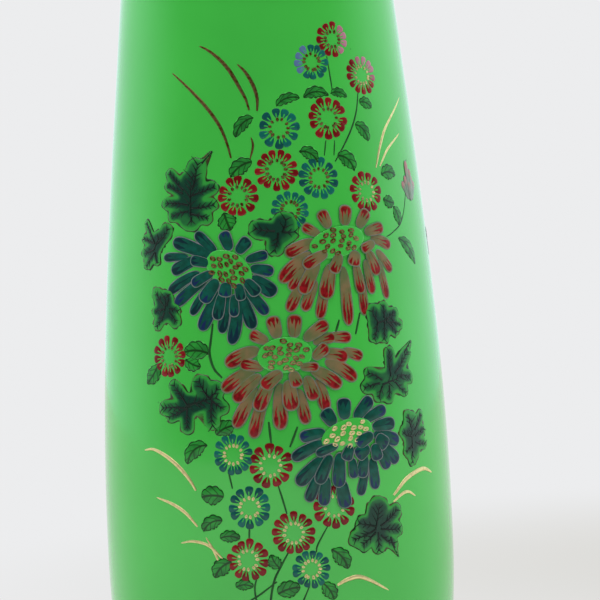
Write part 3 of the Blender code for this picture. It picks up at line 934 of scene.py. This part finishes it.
# Each leaf's centre, then its lobes: where a rib starts and ends, and the lobe's half width, all in
# millimetres to the right and up from the centre.
LEAVES = {
    "leaf_01": ((-27.1, 196.7), [
        (0.8, -7.5, 1.0, 3.0, 5.2), (1.5, 1.0, 3.0, 7.6, 4.1), (5.0, 9.5, 8.4, 12.8, 0.7),
        (-2.0, 1.0, -6.9, 6.6, 2.3), (-2.0, 0.0, -7.6, 2.8, 2.2), (0.0, -4.0, -8.2, -3.0, 2.6),
        (0.0, -6.0, -5.6, -7.2, 2.6), (1.0, -1.0, 8.4, 1.2, 2.7), (1.0, -5.0, 8.2, -4.4, 2.6),
        (1.0, -7.0, 6.4, -8.6, 2.5), (1.0, -8.0, 1.0, -9.4, 3.2),
    ]),
    "leaf_02": ((-40.7, 180.9), [
        (-1.0, -2.0, 0.5, 1.0, 3.2), (-1.0, 0.0, -4.7, 6.6, 1.6), (-1.0, 0.0, -5.4, 1.6, 1.9),
        (0.5, 0.0, 4.2, 3.6, 3.1), (-1.0, -2.0, -4.8, -3.0, 2.7), (-1.0, -3.0, -4.0, -6.8, 2.2),
        (-0.5, -3.0, 0.3, -6.0, 1.8),
    ]),
    "leaf_03": ((2.4, 182.2), [
        (3.4, 0.0, 4.2, 2.6, 4.6), (1.0, 0.5, -4.4, 1.4, 3.5), (2.0, 0.0, 0.8, -4.6, 3.3),
        (4.0, 0.0, 6.2, 0.0, 2.8),
    ]),
    "leaf_04": ((-35.9, 158.9), [
        (-1.0, -0.5, -1.0, 2.5, 4.2), (-2.0, 2.0, -4.4, 5.2, 2.6), (0.0, 1.0, 0.4, 3.8, 2.2),
        (-1.0, 0.0, -4.6, -0.6, 2.2), (-1.0, -1.0, -3.8, -4.8, 2.4), (1.0, -1.0, 3.4, -4.0, 2.6),
        (1.0, 0.0, 3.4, -0.6, 2.4),
    ]),
    "leaf_05": ((-27.2, 127.3), [
        (-1.0, -0.5, 8.0, 1.6, 3.6), (7.0, 2.0, 4.2, 6.4, 3.8), (7.0, 2.0, 9.4, 4.6, 3.4),
        (8.0, 1.0, 11.2, -1.2, 2.8), (8.0, 1.0, 7.8, -5.6, 3.1), (-1.0, 0.0, -5.6, 5.8, 2.9),
        (-1.0, -1.0, -9.6, -0.8, 3.0), (-1.0, -1.0, -7.2, -3.4, 2.6), (-1.0, -1.0, -1.2, -7.0, 2.9),
        (-2.0, -1.0, 0.0, 0.0, 4.0),
    ]),
    "leaf_06": ((41.3, 151.8), [
        (-3.0, -0.5, 2.5, 0.2, 4.4), (-3.0, 0.0, -4.4, 3.0, 3.4), (0.0, 1.0, 0.0, 4.4, 2.6),
        (1.0, 0.5, 4.8, 2.4, 2.4), (1.0, -0.5, 7.2, -1.4, 1.9), (-3.0, 0.0, -4.6, -4.6, 2.9),
        (0.0, 0.0, -0.6, -5.0, 2.6), (1.0, 0.0, 4.4, -3.4, 2.3),
    ]),
    "leaf_07": ((43.0, 135.5), [
        (-5.0, -4.5, 2.0, -3.0, 4.6), (-1.0, -2.0, -0.8, 5.6, 2.7), (1.0, -1.0, 7.4, 5.0, 3.0),
        (6.6, 5.4, 10.6, 9.0, 1.0), (2.0, -2.0, 7.4, -2.6, 2.9), (1.0, -4.0, 4.6, -7.0, 2.4),
        (-5.0, -3.0, -9.6, -0.8, 2.8), (-6.0, -4.0, -11.2, -5.0, 2.7), (-5.0, -5.0, -6.4, -7.8, 2.9),
        (-2.0, -5.0, -2.6, -8.6, 2.6),
    ]),
    "leaf_08": ((50.8, 113.1), [
        (-1.0, -4.0, -0.5, 4.0, 4.6), (-1.0, 3.0, -2.4, 6.8, 2.4), (1.0, 2.0, 4.6, 6.4, 2.4),
        (1.0, 0.0, 5.2, 1.6, 2.4), (-1.0, 0.0, -4.8, 1.6, 2.6), (1.0, -2.0, 5.4, -2.8, 2.4),
        (-1.0, -3.0, -3.6, -4.6, 2.2), (-1.0, -5.0, -1.4, -8.0, 2.2),
    ]),
    "leaf_09": ((33.0, 84.9), [
        (-1.0, -1.0, 0.4, 5.2, 4.9), (1.0, 0.0, 7.6, 4.2, 3.0), (-1.0, 0.0, -5.4, 1.0, 3.4),
        (-1.0, -1.0, -8.4, -3.4, 3.1), (-1.0, -2.0, -5.6, -5.2, 3.0), (0.0, -2.0, 0.0, -6.4, 3.0),
        (1.0, -1.0, 7.6, -1.6, 3.0), (1.0, -3.0, 5.6, -6.0, 2.6), (5.0, -4.0, 7.6, -10.2, 0.9),
    ]),
    "leaf_10": ((91.0, 180.0), [
        (3.4, 0.0, 4.0, 2.6, 4.0), (1.0, 0.5, -1.0, 1.2, 2.6), (2.0, 0.0, 0.8, -4.0, 3.0),
    ]),
    "leaf_11": ((113.0, 175.0), [
        (-1.0, -0.5, -1.0, 2.0, 3.6), (-2.0, 2.0, -3.6, 4.2, 2.2), (-1.0, -1.0, -3.4, -3.8, 2.2),
        (1.0, -1.0, 3.2, -3.4, 2.2), (1.0, 0.0, 3.2, 1.0, 2.2),
    ]),
}
# Small leaves: azimuth in degrees and height of the root, length and half width in millimetres, and
# heading and bend in degrees.
SMALL_LEAVES = [
    (-2.1, 220.2, 9.2, 2.4, 182, 85), (-3.2, 205.8, 9.2, 2.9, 183, 60),
    (-13.9, 189.6, 6.4, 3.4, -75, 10), (6.0, 223.4, 9.2, 2.0, 57, -80), (16.5, 226.2, 9.6, 2.2, 44, -80),
    (27.2, 227.4, 7.0, 1.8, 30, -80), (39.8, 224.6, 6.4, 2.2, 20, -75), (36.6, 217.2, 8.0, 2.5, 0, -95),
    (27.8, 206.8, 8.2, 2.9, 10, -100), (13.4, 208.4, 7.4, 2.4, 15, -90),
    (47.2, 200.4, 8.0, 2.8, 34, -70), (46.7, 192.5, 6.0, 2.4, -24, 20), (51.9, 189.9, 7.0, 2.4, -40, -60),
    (52.8, 179.2, 12.8, 2.6, -14, -60), (-20.0, 143.7, 8.8, 3.4, 150, 50),
    (-39.6, 141.2, 8.4, 2.9, -112, -30), (-28.7, 142.3, 6.0, 2.6, -42, 30),
    (-18.3, 117.2, 7.0, 2.9, 55, -60), (-21.4, 114.0, 9.2, 2.8, 172, 100),
    (-16.4, 97.1, 7.6, 3.4, 160, 40), (-17.2, 89.4, 7.4, 2.5, 163, 95),
    (-18.6, 83.6, 6.5, 2.2, 32, -70), (-14.9, 76.1, 7.6, 2.9, -166, 60),
    (-14.2, 67.6, 5.6, 2.0, 40, -80), (16.4, 78.6, 8.4, 2.8, -24, -60),
    (13.1, 68.1, 7.0, 2.5, -40, -40), (0.3, 73.4, 5.4, 2.2, 138, -40), (-1.1, 65.0, 7.4, 3.0, 36, -40),
    (100.0, 193.0, 9.0, 2.8, -10, -60), (97.0, 212.0, 8.6, 2.9, 140, 50),
    (106.0, 203.0, 8.2, 2.8, 30, -60), (110.0, 181.0, 8.4, 2.8, 0, -60),
]
# Stems, as points of azimuth and height, each with its greatest half width in millimetres.
STEMS = [
    (0.28, [(27.3, 240.0), (27.9, 234.0), (28.4, 228.0)]),
    (0.34, [(40.0, 228.0), (38.2, 221.8), (35.4, 216.4), (31.6, 211.0), (26.9, 205.0)]),
    (0.25, [(23.9, 212.0), (22.8, 207.0)]),
    (0.25, [(27.4, 212.0), (26.6, 207.0)]),
    (0.25, [(66.0, 206.0), (60.5, 192.0), (55.8, 184.6), (50.5, 181.4), (46.6, 179.8)]),
    (0.45, [(-18.6, 153.5), (-19.6, 147.0), (-20.0, 143.8), (-18.6, 139.0), (-15.9, 135.8)]),
    (0.38, [(-1.4, 121.0), (-0.9, 114.0)]),
    (0.38, [(7.6, 119.0), (4.9, 112.5)]),
    (0.38, [(23.6, 153.0), (21.8, 148.4)]),
    (0.38, [(31.5, 155.0), (29.2, 148.0)]),
    (0.28, [(-14.9, 106.0), (-13.7, 99.8)]),
    (0.30, [(0.7, 100.2), (1.8, 96.0), (3.0, 91.0)]),
    (0.28, [(-8.8, 87.2), (-9.1, 82.8)]),
    (0.28, [(15.6, 86.2), (12.3, 80.6), (11.6, 78.0)]),
    (0.34, [(3.0, 78.6), (0.6, 74.4), (-2.0, 69.0), (-3.6, 60.0), (-4.2, 48.0)]),
    (0.30, [(-7.2, 71.0), (-8.0, 66.0), (-6.4, 57.0), (-4.4, 48.4)]),
    (0.30, [(-1.0, 69.2), (-6.8, 65.0), (-11.0, 62.6)]),
    (0.30, [(9.0, 67.0), (5.4, 60.0), (-1.2, 53.0), (-4.0, 47.0)]),
    (0.28, [(100.0, 209.0), (102.0, 198.0), (106.0, 186.0), (112.0, 176.0)]),
    (0.25, [(92.0, 190.0), (97.0, 181.0), (104.0, 174.0), (112.0, 170.0)]),
]
# Gilt grass blades: points of azimuth and height from root to tip, and the greatest half width.
BLADES = {
    "grass_blade_01": (0.60, [
        (-10.9, 207.3), (-12.3, 212.3), (-14.6, 217.6), (-17.7, 222.0), (-21.2, 225.9),
        (-25.4, 229.8), (-30.2, 233.7), (-34.7, 237.0),
    ]),
    "grass_blade_02": (0.66, [
        (-3.8, 222.8), (-5.0, 226.6), (-6.9, 230.0), (-8.9, 233.4), (-11.0, 236.5), (-13.6, 239.3),
        (-16.5, 241.7), (-19.6, 243.7), (-22.7, 245.1),
    ]),
    "grass_blade_03": (0.66, [
        (-0.9, 222.4), (-0.7, 226.4), (-1.6, 229.9), (-3.1, 233.0), (-5.1, 235.8), (-7.7, 238.2),
    ]),
    "grass_blade_04": (0.42, [(-4.1, 206.7), (-2.9, 210.9), (-3.5, 213.9)]),
    "grass_blade_05": (0.58, [(44.9, 202.9), (49.0, 211.0), (54.4, 217.7), (68.0, 227.6)]),
    "grass_blade_06": (0.46, [(47.1, 203.4), (53.0, 209.4), (62.7, 214.9)]),
    "grass_blade_07": (0.70, [
        (-26.0, 99.4), (-28.1, 102.8), (-30.8, 105.9), (-34.1, 108.8), (-38.0, 111.2),
        (-42.5, 112.9), (-46.6, 112.6),
    ]),
    "grass_blade_08": (0.58, [(-25.9, 87.6), (-30.0, 92.0), (-35.1, 95.0), (-41.6, 97.1)]),
    "grass_blade_09": (0.50, [(-17.6, 76.9), (-22.4, 81.4), (-27.7, 82.8), (-32.3, 82.2)]),
    "grass_blade_10": (0.42, [(-18.8, 75.0), (-20.6, 79.6), (-23.2, 84.2)]),
    "grass_blade_11": (0.78, [(39.9, 94.4), (46.4, 99.5), (54.9, 101.9), (60.7, 100.2)]),
    "grass_blade_12": (0.56, [(39.7, 92.2), (44.0, 94.6), (46.9, 94.9), (50.1, 93.2)]),
    "grass_blade_13": (0.74, [(18.0, 66.9), (22.0, 68.6), (26.9, 68.6), (36.3, 63.5)]),
    "grass_blade_14": (0.54, [(96.0, 226.0), (97.0, 234.0), (100.0, 242.0), (107.0, 250.0)]),
}


# ---------------------------------------------------------------------------- building the spray

PETAL_FULLNESS = 1.1         # petals are laid this much wider than drawn, so that neighbours meet


def bloom_rows(petals):
    """A bloom's petals as rows for petal_points, in metres and radians."""
    rows = []
    for x0, y0, x1, y1, half, bend in petals:
        bend = math.radians(bend)
        heading = math.atan2(y1 - y0, x1 - x0) - bend / 2
        reach, wide = math.hypot(x1 - x0, y1 - y0) * MM, PETAL_FULLNESS * half * MM
        rows.append((x0 * MM, y0 * MM, reach, wide, heading, bend))
    return rows


def build_chrysanthemums(finishes):
    tree = placed_petals_tree("chrysanthemum_petals", segments=14, rings=14)
    eyes, rings = eye_tree(), ring_tree()
    eye_meshes, ring_meshes = [], []
    for number, (name, (centre, eye, stamens, petals)) in enumerate(CHRYSANTHEMUMS.items()):
        place = place_of(*centre, seed=number + 3)
        colour, slot = ("blue", "blue_enamel") if "blue" in name else ("red", "rose_enamel")
        mesh = grown(tree, petal_points(bloom_rows(petals)), {
            **place, "Finish": finishes[colour + " petals"], "Taper": 0.7, "Dome": 0.13 * MM,
            "Level": 0.03 * MM, "Step": 0.022 * MM,
        })
        add_piece(name + "_petals", mesh, None, name)
        wide, high, tilt = eye
        tilt = math.radians(tilt)
        oval = {"Wide": wide * MM, "High": high * MM, "Tilt": tilt}
        level = 0.44 * MM if "lower" not in name else 0.36 * MM
        eye_meshes.append(grown(eyes, single_point(), {
            **place, **oval, "Finish": finishes["ground"], "Level": level,
        }))
        ring_meshes.append(grown(rings, single_point(), {
            **place, "Wide": 0.94 * wide * MM, "High": 0.94 * high * MM, "Tilt": tilt,
            "Finish": finishes["gilt"], "Count": stamens, "Packed": 1.0, "Long": 0.8 * MM,
            "Short": 0.44 * MM, "Wire": 0.36 * MM, "Level": level + 0.1 * MM,
        }))
    add_piece("chrysanthemum_eyes", merged(eye_meshes), None)
    add_piece("chrysanthemum_stamens", merged(ring_meshes), None)


def build_blossoms(finishes):
    petals, rings = ring_of_petals_tree(), ring_tree()
    ring_meshes = []
    for number, (name, (azimuth, height, reach)) in enumerate(BLOSSOMS.items()):
        place = place_of(azimuth, height, seed=number + 20)
        colour = "blue" if "blue" in name else "red"
        count = 11 + number % 3
        reach = reach * MM
        first = 0.3 * number
        mesh = grown(petals, single_point(), {
            **place, "Finish": finishes[colour + " blossom"], "Petals": count, "First": first,
            "Last": first + 2 * math.pi, "Start": 0.5 * reach, "Reach": reach,
            "Half": reach * 2.95 / count, "Taper": 0.36, "Dome": 0.15 * MM, "Ragged": 0.6,
            "Blush": math.radians(FADED.get(name, 0)), "Blushing": float(name in FADED),
        })
        add_piece(name + "_petals", mesh, None, name)
        ring_meshes.append(grown(rings, single_point(), {
            **place, "Wide": 0.44 * reach, "High": 0.44 * reach, "Tilt": 0.0,
            "Finish": finishes["gilt"], "Count": count, "Packed": 0.0, "Long": 0.42 * MM,
            "Short": 0.24 * MM, "Wire": 0.24 * MM, "Level": 0.06 * MM,
        }))
    add_piece("blossom_stamens", merged(ring_meshes), None)


def build_bud(finishes):
    """A half-open bud at the side, of a few upright petals."""
    low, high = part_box("bud_red")
    middle = (low + high) / 2
    azimuth = math.degrees(math.atan2(middle.x, -middle.y))
    outer = [(x * 0.3, 1.0, x, 12.0 - abs(x) * 0.9, 1.5, -x * 5) for x in (-5.6, 5.2, -3.2, 3.0)]
    inner = [(-0.2, 1.0, -1.0, 14.4, 1.7, 4), (0.3, 1.0, 1.7, 11.6, 1.5, -6), (0, 0.6, 0.2, 7.6, 1.9, 0)]
    tree = placed_petals_tree("bud_petals")
    mesh = grown(tree, petal_points(bloom_rows(outer + inner)), {
        **place_of(azimuth, low.z / MM + 0.6, seed=2), "Finish": finishes["bud petals"],
        "Taper": 0.6, "Dome": 0.15 * MM, "Level": 0.02 * MM, "Step": 0.03 * MM,
    })
    add_piece("bud_red_petals", mesh, None, "bud_red")


def from_lobes(points, lobes):
    """How far points lie outside the nearest lobe, negative within, and their distance to its rib."""
    soft = 1.3
    nearest_edge = np.full(len(points), 1e3)
    nearest_rib = np.full(len(points), 1e3)
    for x0, y0, x1, y1, half in lobes:
        start, rib = np.array((x0, y0)), np.array((x1 - x0, y1 - y0))
        share = np.clip((points - start) @ rib / (rib @ rib), 0, 1)
        apart = np.linalg.norm(points - start - share[:, None] * rib, axis=1)
        edge = apart - half
        blend = np.clip(0.5 + 0.5 * (nearest_edge - edge) / soft, 0, 1)
        nearest_edge = nearest_edge * (1 - blend) + edge * blend - soft * blend * (1 - blend)
        nearest_rib = np.minimum(nearest_rib, apart / half)
    return nearest_edge, nearest_rib


# Waves round a leaf's edge: how many, and how deep in millimetres.
LEAF_RIPPLE = ((13, 0.22), (21, 0.17), (32, 0.08))


def leaf_mesh(lobes, seed, spokes=200, rings=14):
    """A flat, closed leaf. It carries edge, its distance in from the outline, and depth, the wash's."""
    angles = np.arange(spokes) * 2 * math.pi / spokes
    directions = np.stack((np.cos(angles), np.sin(angles)), axis=1)
    starts = np.random.default_rng(seed).uniform(0, 2 * math.pi, len(LEAF_RIPPLE))
    ragged = sum(np.sin(k * angles + w) * deep for (k, deep), w in zip(LEAF_RIPPLE, starts))
    reach = np.zeros(spokes)
    for distance in np.arange(0.2, 20.0, 0.05):
        edge, _ = from_lobes(directions * distance, lobes)
        reach = np.where(edge + ragged < 0, distance, reach)
    for _ in range(3):
        reach = (np.roll(reach, 1) + reach * 2 + np.roll(reach, -1)) / 4
    shares = np.linspace(0, 1, rings + 1)[1:] ** 0.8
    loops = [directions * (reach * share)[:, None] for share in shares]
    flat = np.concatenate([np.zeros((1, 2)), *loops])
    share_of = np.concatenate([[0.0]] + [np.full(spokes, s) for s in shares])
    outside, rib = from_lobes(flat, lobes)
    edge = np.maximum(-outside, (1 - share_of) * 0.6)
    edge[share_of == 1] = 0.0
    middle = np.clip(1.15 - np.linalg.norm(flat, axis=1) / (0.85 * reach.max()), 0, 1)
    depth = 0.45 * np.clip(1 - rib, 0, 1) + 0.75 * middle
    crown = 0.16 * np.clip(edge / 0.5, 0, 1) ** 0.5 + 0.04
    bottom = np.column_stack((flat, np.full(len(flat), -SINK / MM)))
    vertices = np.concatenate((np.column_stack((flat, crown)), bottom)) * MM
    count = len(flat)
    faces = []
    for side, flip in ((0, False), (count, True)):
        for s in range(spokes):
            t = (s + 1) % spokes
            rows = [(side, side + 1 + s, side + 1 + t)]
            for k in range(rings - 1):
                a, b = side + 1 + k * spokes, side + 1 + (k + 1) * spokes
                rows.append((a + s, b + s, b + t, a + t))
            faces += [row[::-1] if flip else row for row in rows]
    rim = 1 + (rings - 1) * spokes
    for s in range(spokes):
        t = (s + 1) % spokes
        faces.append((rim + s, count + rim + s, count + rim + t, rim + t))
    mesh = bpy.data.meshes.new("leaf")
    mesh.from_pydata(vertices.tolist(), [], faces)
    for name, values in (("edge", np.tile(edge, 2) * MM), ("depth", np.tile(depth, 2))):
        layer = mesh.attributes.new(name, "FLOAT", "POINT")
        layer.data.foreach_set("value", values.astype(np.float32))
    return mesh


def curve_through(points, pieces):
    """A smooth run of points through a few given ones."""
    points = [np.array(p, float) for p in points]
    padded = [2 * points[0] - points[1], *points, 2 * points[-1] - points[-2]]
    run = []
    for i in range(len(points) - 1):
        a, b, c, d = padded[i : i + 4]
        for k in range(pieces):
            t = k / pieces
            run.append(0.5 * (2 * b + (c - a) * t + (2 * a - 5 * b + 4 * c - d) * t * t
                              + (3 * b - a - 3 * c + d) * t**3))
    return [*run, points[-1]]


def strokes_curve(strokes):
    """A curve of tapered strokes, each a half width at its thick end, points in metres and a taper."""
    curve = bpy.data.curves.new("strokes", "CURVE")
    curve.dimensions = "3D"
    for half, points, taper in strokes:
        run = curve_through(points, 8)
        spline = curve.splines.new("POLY")
        spline.points.add(len(run) - 1)
        for i, (point, place) in enumerate(zip(spline.points, run)):
            point.co = (place[0], place[1], 0, 1)
            point.radius = half * taper(i / (len(run) - 1))
    return curve


def thinning(t):
    return 1 - 0.8 * t


def blade_taper(t):
    return 0.18 + 0.82 * math.sin(math.pi * min(1.0, t * 0.86 + 0.1)) ** 0.8 if t < 1 else 0.1


def stem_taper(t):
    return 0.7 + 0.3 * math.sin(math.pi * t)


def spread(azimuth, height):
    """A point on the wall as metres across and up, for pieces that go far round it."""
    return math.radians(azimuth) * SPREAD, height * MM


def leaf_veins(lobes, seed):
    """A main vein along each rib with finer ones that branch off it, in millimetres."""
    choose = np.random.default_rng(seed)
    strokes = []
    for x0, y0, x1, y1, half in lobes:
        start, end = np.array((x0, y0)), np.array((x1, y1))
        rib = end - start
        length = np.linalg.norm(rib)
        ahead = rib / length
        aside = np.array((-ahead[1], ahead[0]))
        end = end + ahead * half * 0.45
        middle = (start + end) / 2 + aside * choose.uniform(-0.5, 0.5)
        strokes.append((0.40, [start, middle, end], thinning))
        for side in (-1, 1):
            for share in np.arange(0.3, 1.0, max(0.16, 1.5 / length)):
                share = share + choose.uniform(-0.05, 0.05)
                root = start + (end - start) * share
                reach = half * choose.uniform(0.5, 0.8)
                way = ahead * choose.uniform(0.6, 0.9) + aside * side * choose.uniform(0.6, 0.9)
                bend = root + way * reach * 0.5 + ahead * 0.12
                strokes.append((0.27, [root, bend, root + way * reach], thinning))
    return strokes


def build_leaves(finishes):
    flat, strokes = flat_tree(), stroke_tree()
    vein_meshes = []
    for number, (name, (centre, lobes)) in enumerate(LEAVES.items()):
        place = place_of(*centre, seed=number)
        mesh = grown(flat, leaf_mesh(lobes, number), {**place, "Finish": finishes["leaf"]})
        add_piece(name + "_enamel", mesh, None, name)
        veins = [
            (half * MM, [p * MM for p in points], taper)
            for half, points, taper in leaf_veins(lobes, number)
        ]
        vein_meshes.append(grown(strokes, strokes_curve(veins), {
            **place, "Finish": finishes["vein"], "Level": 0.2 * MM, "Flatness": 0.4,
        }))
    add_piece("leaf_veins", merged(vein_meshes), None)


def build_small_leaves(finishes):
    rows = [
        (*spread(azimuth, height), length * MM, half * MM, math.radians(heading), math.radians(bend))
        for azimuth, height, length, half, heading, bend in SMALL_LEAVES
    ]
    tree = placed_petals_tree("small_leaves", blunt=-0.3, segments=14, rings=18)
    inputs = {
        **WIDE_PLACE, "Finish": finishes["small leaf"], "Taper": 1.0, "Dome": 0.14 * MM,
        "Level": 0.02 * MM, "Step": 0.0,
    }
    add_piece("small_leaves", grown(tree, petal_points(rows), inputs), None)


def build_strokes(finishes):
    tree = stroke_tree()
    stems = [(half * MM, [spread(*p) for p in points], stem_taper) for half, points in STEMS]
    inputs = {**WIDE_PLACE, "Finish": finishes["stem"], "Level": 0.0, "Flatness": 0.4}
    add_piece("stems", grown(tree, strokes_curve(stems), inputs), None)
    for name, (half, points) in BLADES.items():
        curve = strokes_curve([(half * MM, [spread(*p) for p in points], blade_taper)])
        inputs = {**WIDE_PLACE, "Finish": finishes["gilt"], "Level": 0.0, "Flatness": 0.3}
        add_piece(name + "_gilding", grown(tree, curve, inputs), None, name)


# ---------------------------------------------------------------------------- stage, light and camera

PALE = (0.84, 0.845, 0.855)                   # the surround, as the camera sees it
FLOOR = (0.73, 0.655, 0.615)                  # warm, because the light on it is cool
FLOOR_PAINTED_SHADOW = (0.725, 0.720, 0.695)             # painted shadow: a soft darker patch on the floor behind the vase
TENT_OPENING = (0.14, 0.12, 0.12)
TENT_SIDES = (1.15, 1.30, 1.40)               # as soft light
TENT_IN_REFLECTIONS = (0.88, 1.05, 1.10)
CAMERA_PLACE = (0.01045, -0.85, 0.160)
CAMERA_LENS = 146.45
CAMERA_ROLL = 2.55                            # degrees


def build_stage():
    """A very large pale floor with real shade near the vase, fading out into a painted glow like the
    surround.
    """
    bpy.ops.mesh.primitive_circle_add(vertices=96, radius=9.0, fill_type="TRIFAN", location=(0, 0, 0))
    floor = bpy.context.object
    floor.name = "floor"
    finish = Finish("pale floor", Roughness=0.9, Base_Color=(*FLOOR, 1.0))
    x, y, _ = finish.split(finish.place)
    away = (x * x + y * y).root().ramp(0.16, 0.42)
    # A painted shadow: a soft darker patch in the glow, behind the vase and to its right.
    shade = (((x - 0.30) ** 2 + (y - 0.55) ** 2).root()).ramp(0.60, 0.05)
    glow_colour_with_painted_shadow = finish.mix(shade, PALE, FLOOR_PAINTED_SHADOW)
    # The far floor glows though it is no lamp: painted light in the surround's colour.
    glow = finish.node("ShaderNodeEmission", None, {"Color": glow_colour_with_painted_shadow, "Strength": 1.0})
    sockets = {0: away, 1: Value(finish, finish.shader.outputs[0]), 2: glow}
    mixed = finish.node("ShaderNodeMixShader", None, sockets)
    finish.tree.links.new(mixed.socket, finish.tree.nodes["Material Output"].inputs["Surface"])
    floor.data.materials.append(finish.material)


def light_world():
    """A pale tent: plain to the camera, brightest at the sides and behind, darker at its opening in
    front. Reflections see its sides start further round than soft light does."""
    world = bpy.data.worlds.new("light tent")
    bpy.context.scene.world = world
    world.use_nodes = True
    graph = Graph(world.node_tree)
    _, y, _ = graph.split(graph.node("ShaderNodeTexCoord", output="Generated"))
    glossy = graph.node("ShaderNodeLightPath", output="Is Glossy Ray")
    bright = y.ramp(-0.8, 0.1) * (1 - glossy) + y.ramp(-0.55, 0.4) * glossy
    tent = graph.mix(bright, TENT_OPENING, graph.mix(glossy, TENT_SIDES, TENT_IN_REFLECTIONS))
    seen = graph.node("ShaderNodeLightPath", output="Is Camera Ray")
    both = graph.mix(seen, tent, PALE)
    background = world.node_tree.nodes["Background"]
    world.node_tree.links.new(both.socket, background.inputs["Color"])
    background.inputs["Strength"].default_value = 1.0


def add_softbox(name, place, aim, width, height, power):
    """A rectangular lamp that the camera doesn't see."""
    light = bpy.data.lights.new(name, "AREA")
    light.shape = "RECTANGLE"
    light.size, light.size_y = width, height
    light.energy = power
    lamp = bpy.data.objects.new(name, light)
    bpy.context.scene.collection.objects.link(lamp)
    lamp.location = place
    lamp.rotation_euler = (Vector(aim) - Vector(place)).to_track_quat("-Z", "Y").to_euler()
    lamp.visible_camera = False


def add_camera():
    camera = bpy.data.cameras.new("camera")
    camera.lens = CAMERA_LENS
    camera.clip_start = 0.05
    camera.clip_end = 50.0
    eye = bpy.data.objects.new("camera", camera)
    bpy.context.scene.collection.objects.link(eye)
    eye.location = CAMERA_PLACE
    eye.rotation_mode = "XYZ"
    eye.rotation_euler = (math.radians(90), math.radians(CAMERA_ROLL), 0)
    bpy.context.scene.camera = eye


# ---------------------------------------------------------------------------- assembly

# Its second colour is the dark brown of the painted dark reflection and of wear.
gilt = gilding("fired gold", (1.0, 0.84, 0.42), (0.125, 0.052, 0.010))
FINISHES = {
    "ground": ground_enamel(),
    "gilt": gilt,
    "blue petals": blue_petals(),
    "red petals": red_petals(),
    "blue blossom": blossom_petals(
        "blue-green blossom", (0.003, 0.080, 0.076), (0.005, 0.170, 0.130), (0.120, 0.210, 0.400)
    ),
    "red blossom": blossom_petals(
        "red blossom", (0.170, 0.003, 0.004), (0.300, 0.010, 0.012), (0.560, 0.230, 0.300)
    ),
    "bud petals": bud_enamel(),
    "leaf": leaf_enamel(),
    "small leaf": small_leaf_enamel(),
    "vein": ink("black-green veins", (0.001, 0.008, 0.004), (0.002, 0.018, 0.008)),
    "stem": ink("stem green", (0.006, 0.070, 0.012), (0.016, 0.120, 0.020)),
}
brass = turned_brass()
lining = lining_enamel()
WALL = build_ground(FINISHES["ground"])
build_lining(lining)
build_base(lining)
sharpened(build_rim(brass), 50)
sharpened(build_foot(brass), 50)
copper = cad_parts["copper_body"]
copper.data.materials.clear()
# The copper gets the same painted dark reflection in its second shade.
copper.data.materials.append(gilding("spun copper", (0.72, 0.34, 0.20), (0.50, 0.22, 0.12)))

build_chrysanthemums(FINISHES)
build_blossoms(FINISHES)
build_bud(FINISHES)
build_leaves(FINISHES)
build_small_leaves(FINISHES)
build_strokes(FINISHES)

build_stage()
light_world()
add_softbox("top_softbox", (0.0, -0.3, 1.6), (0, 0, 0.16), 1.2, 1.2, 9.0)
add_camera()
bpy.context.scene.view_settings.view_transform = "Standard"
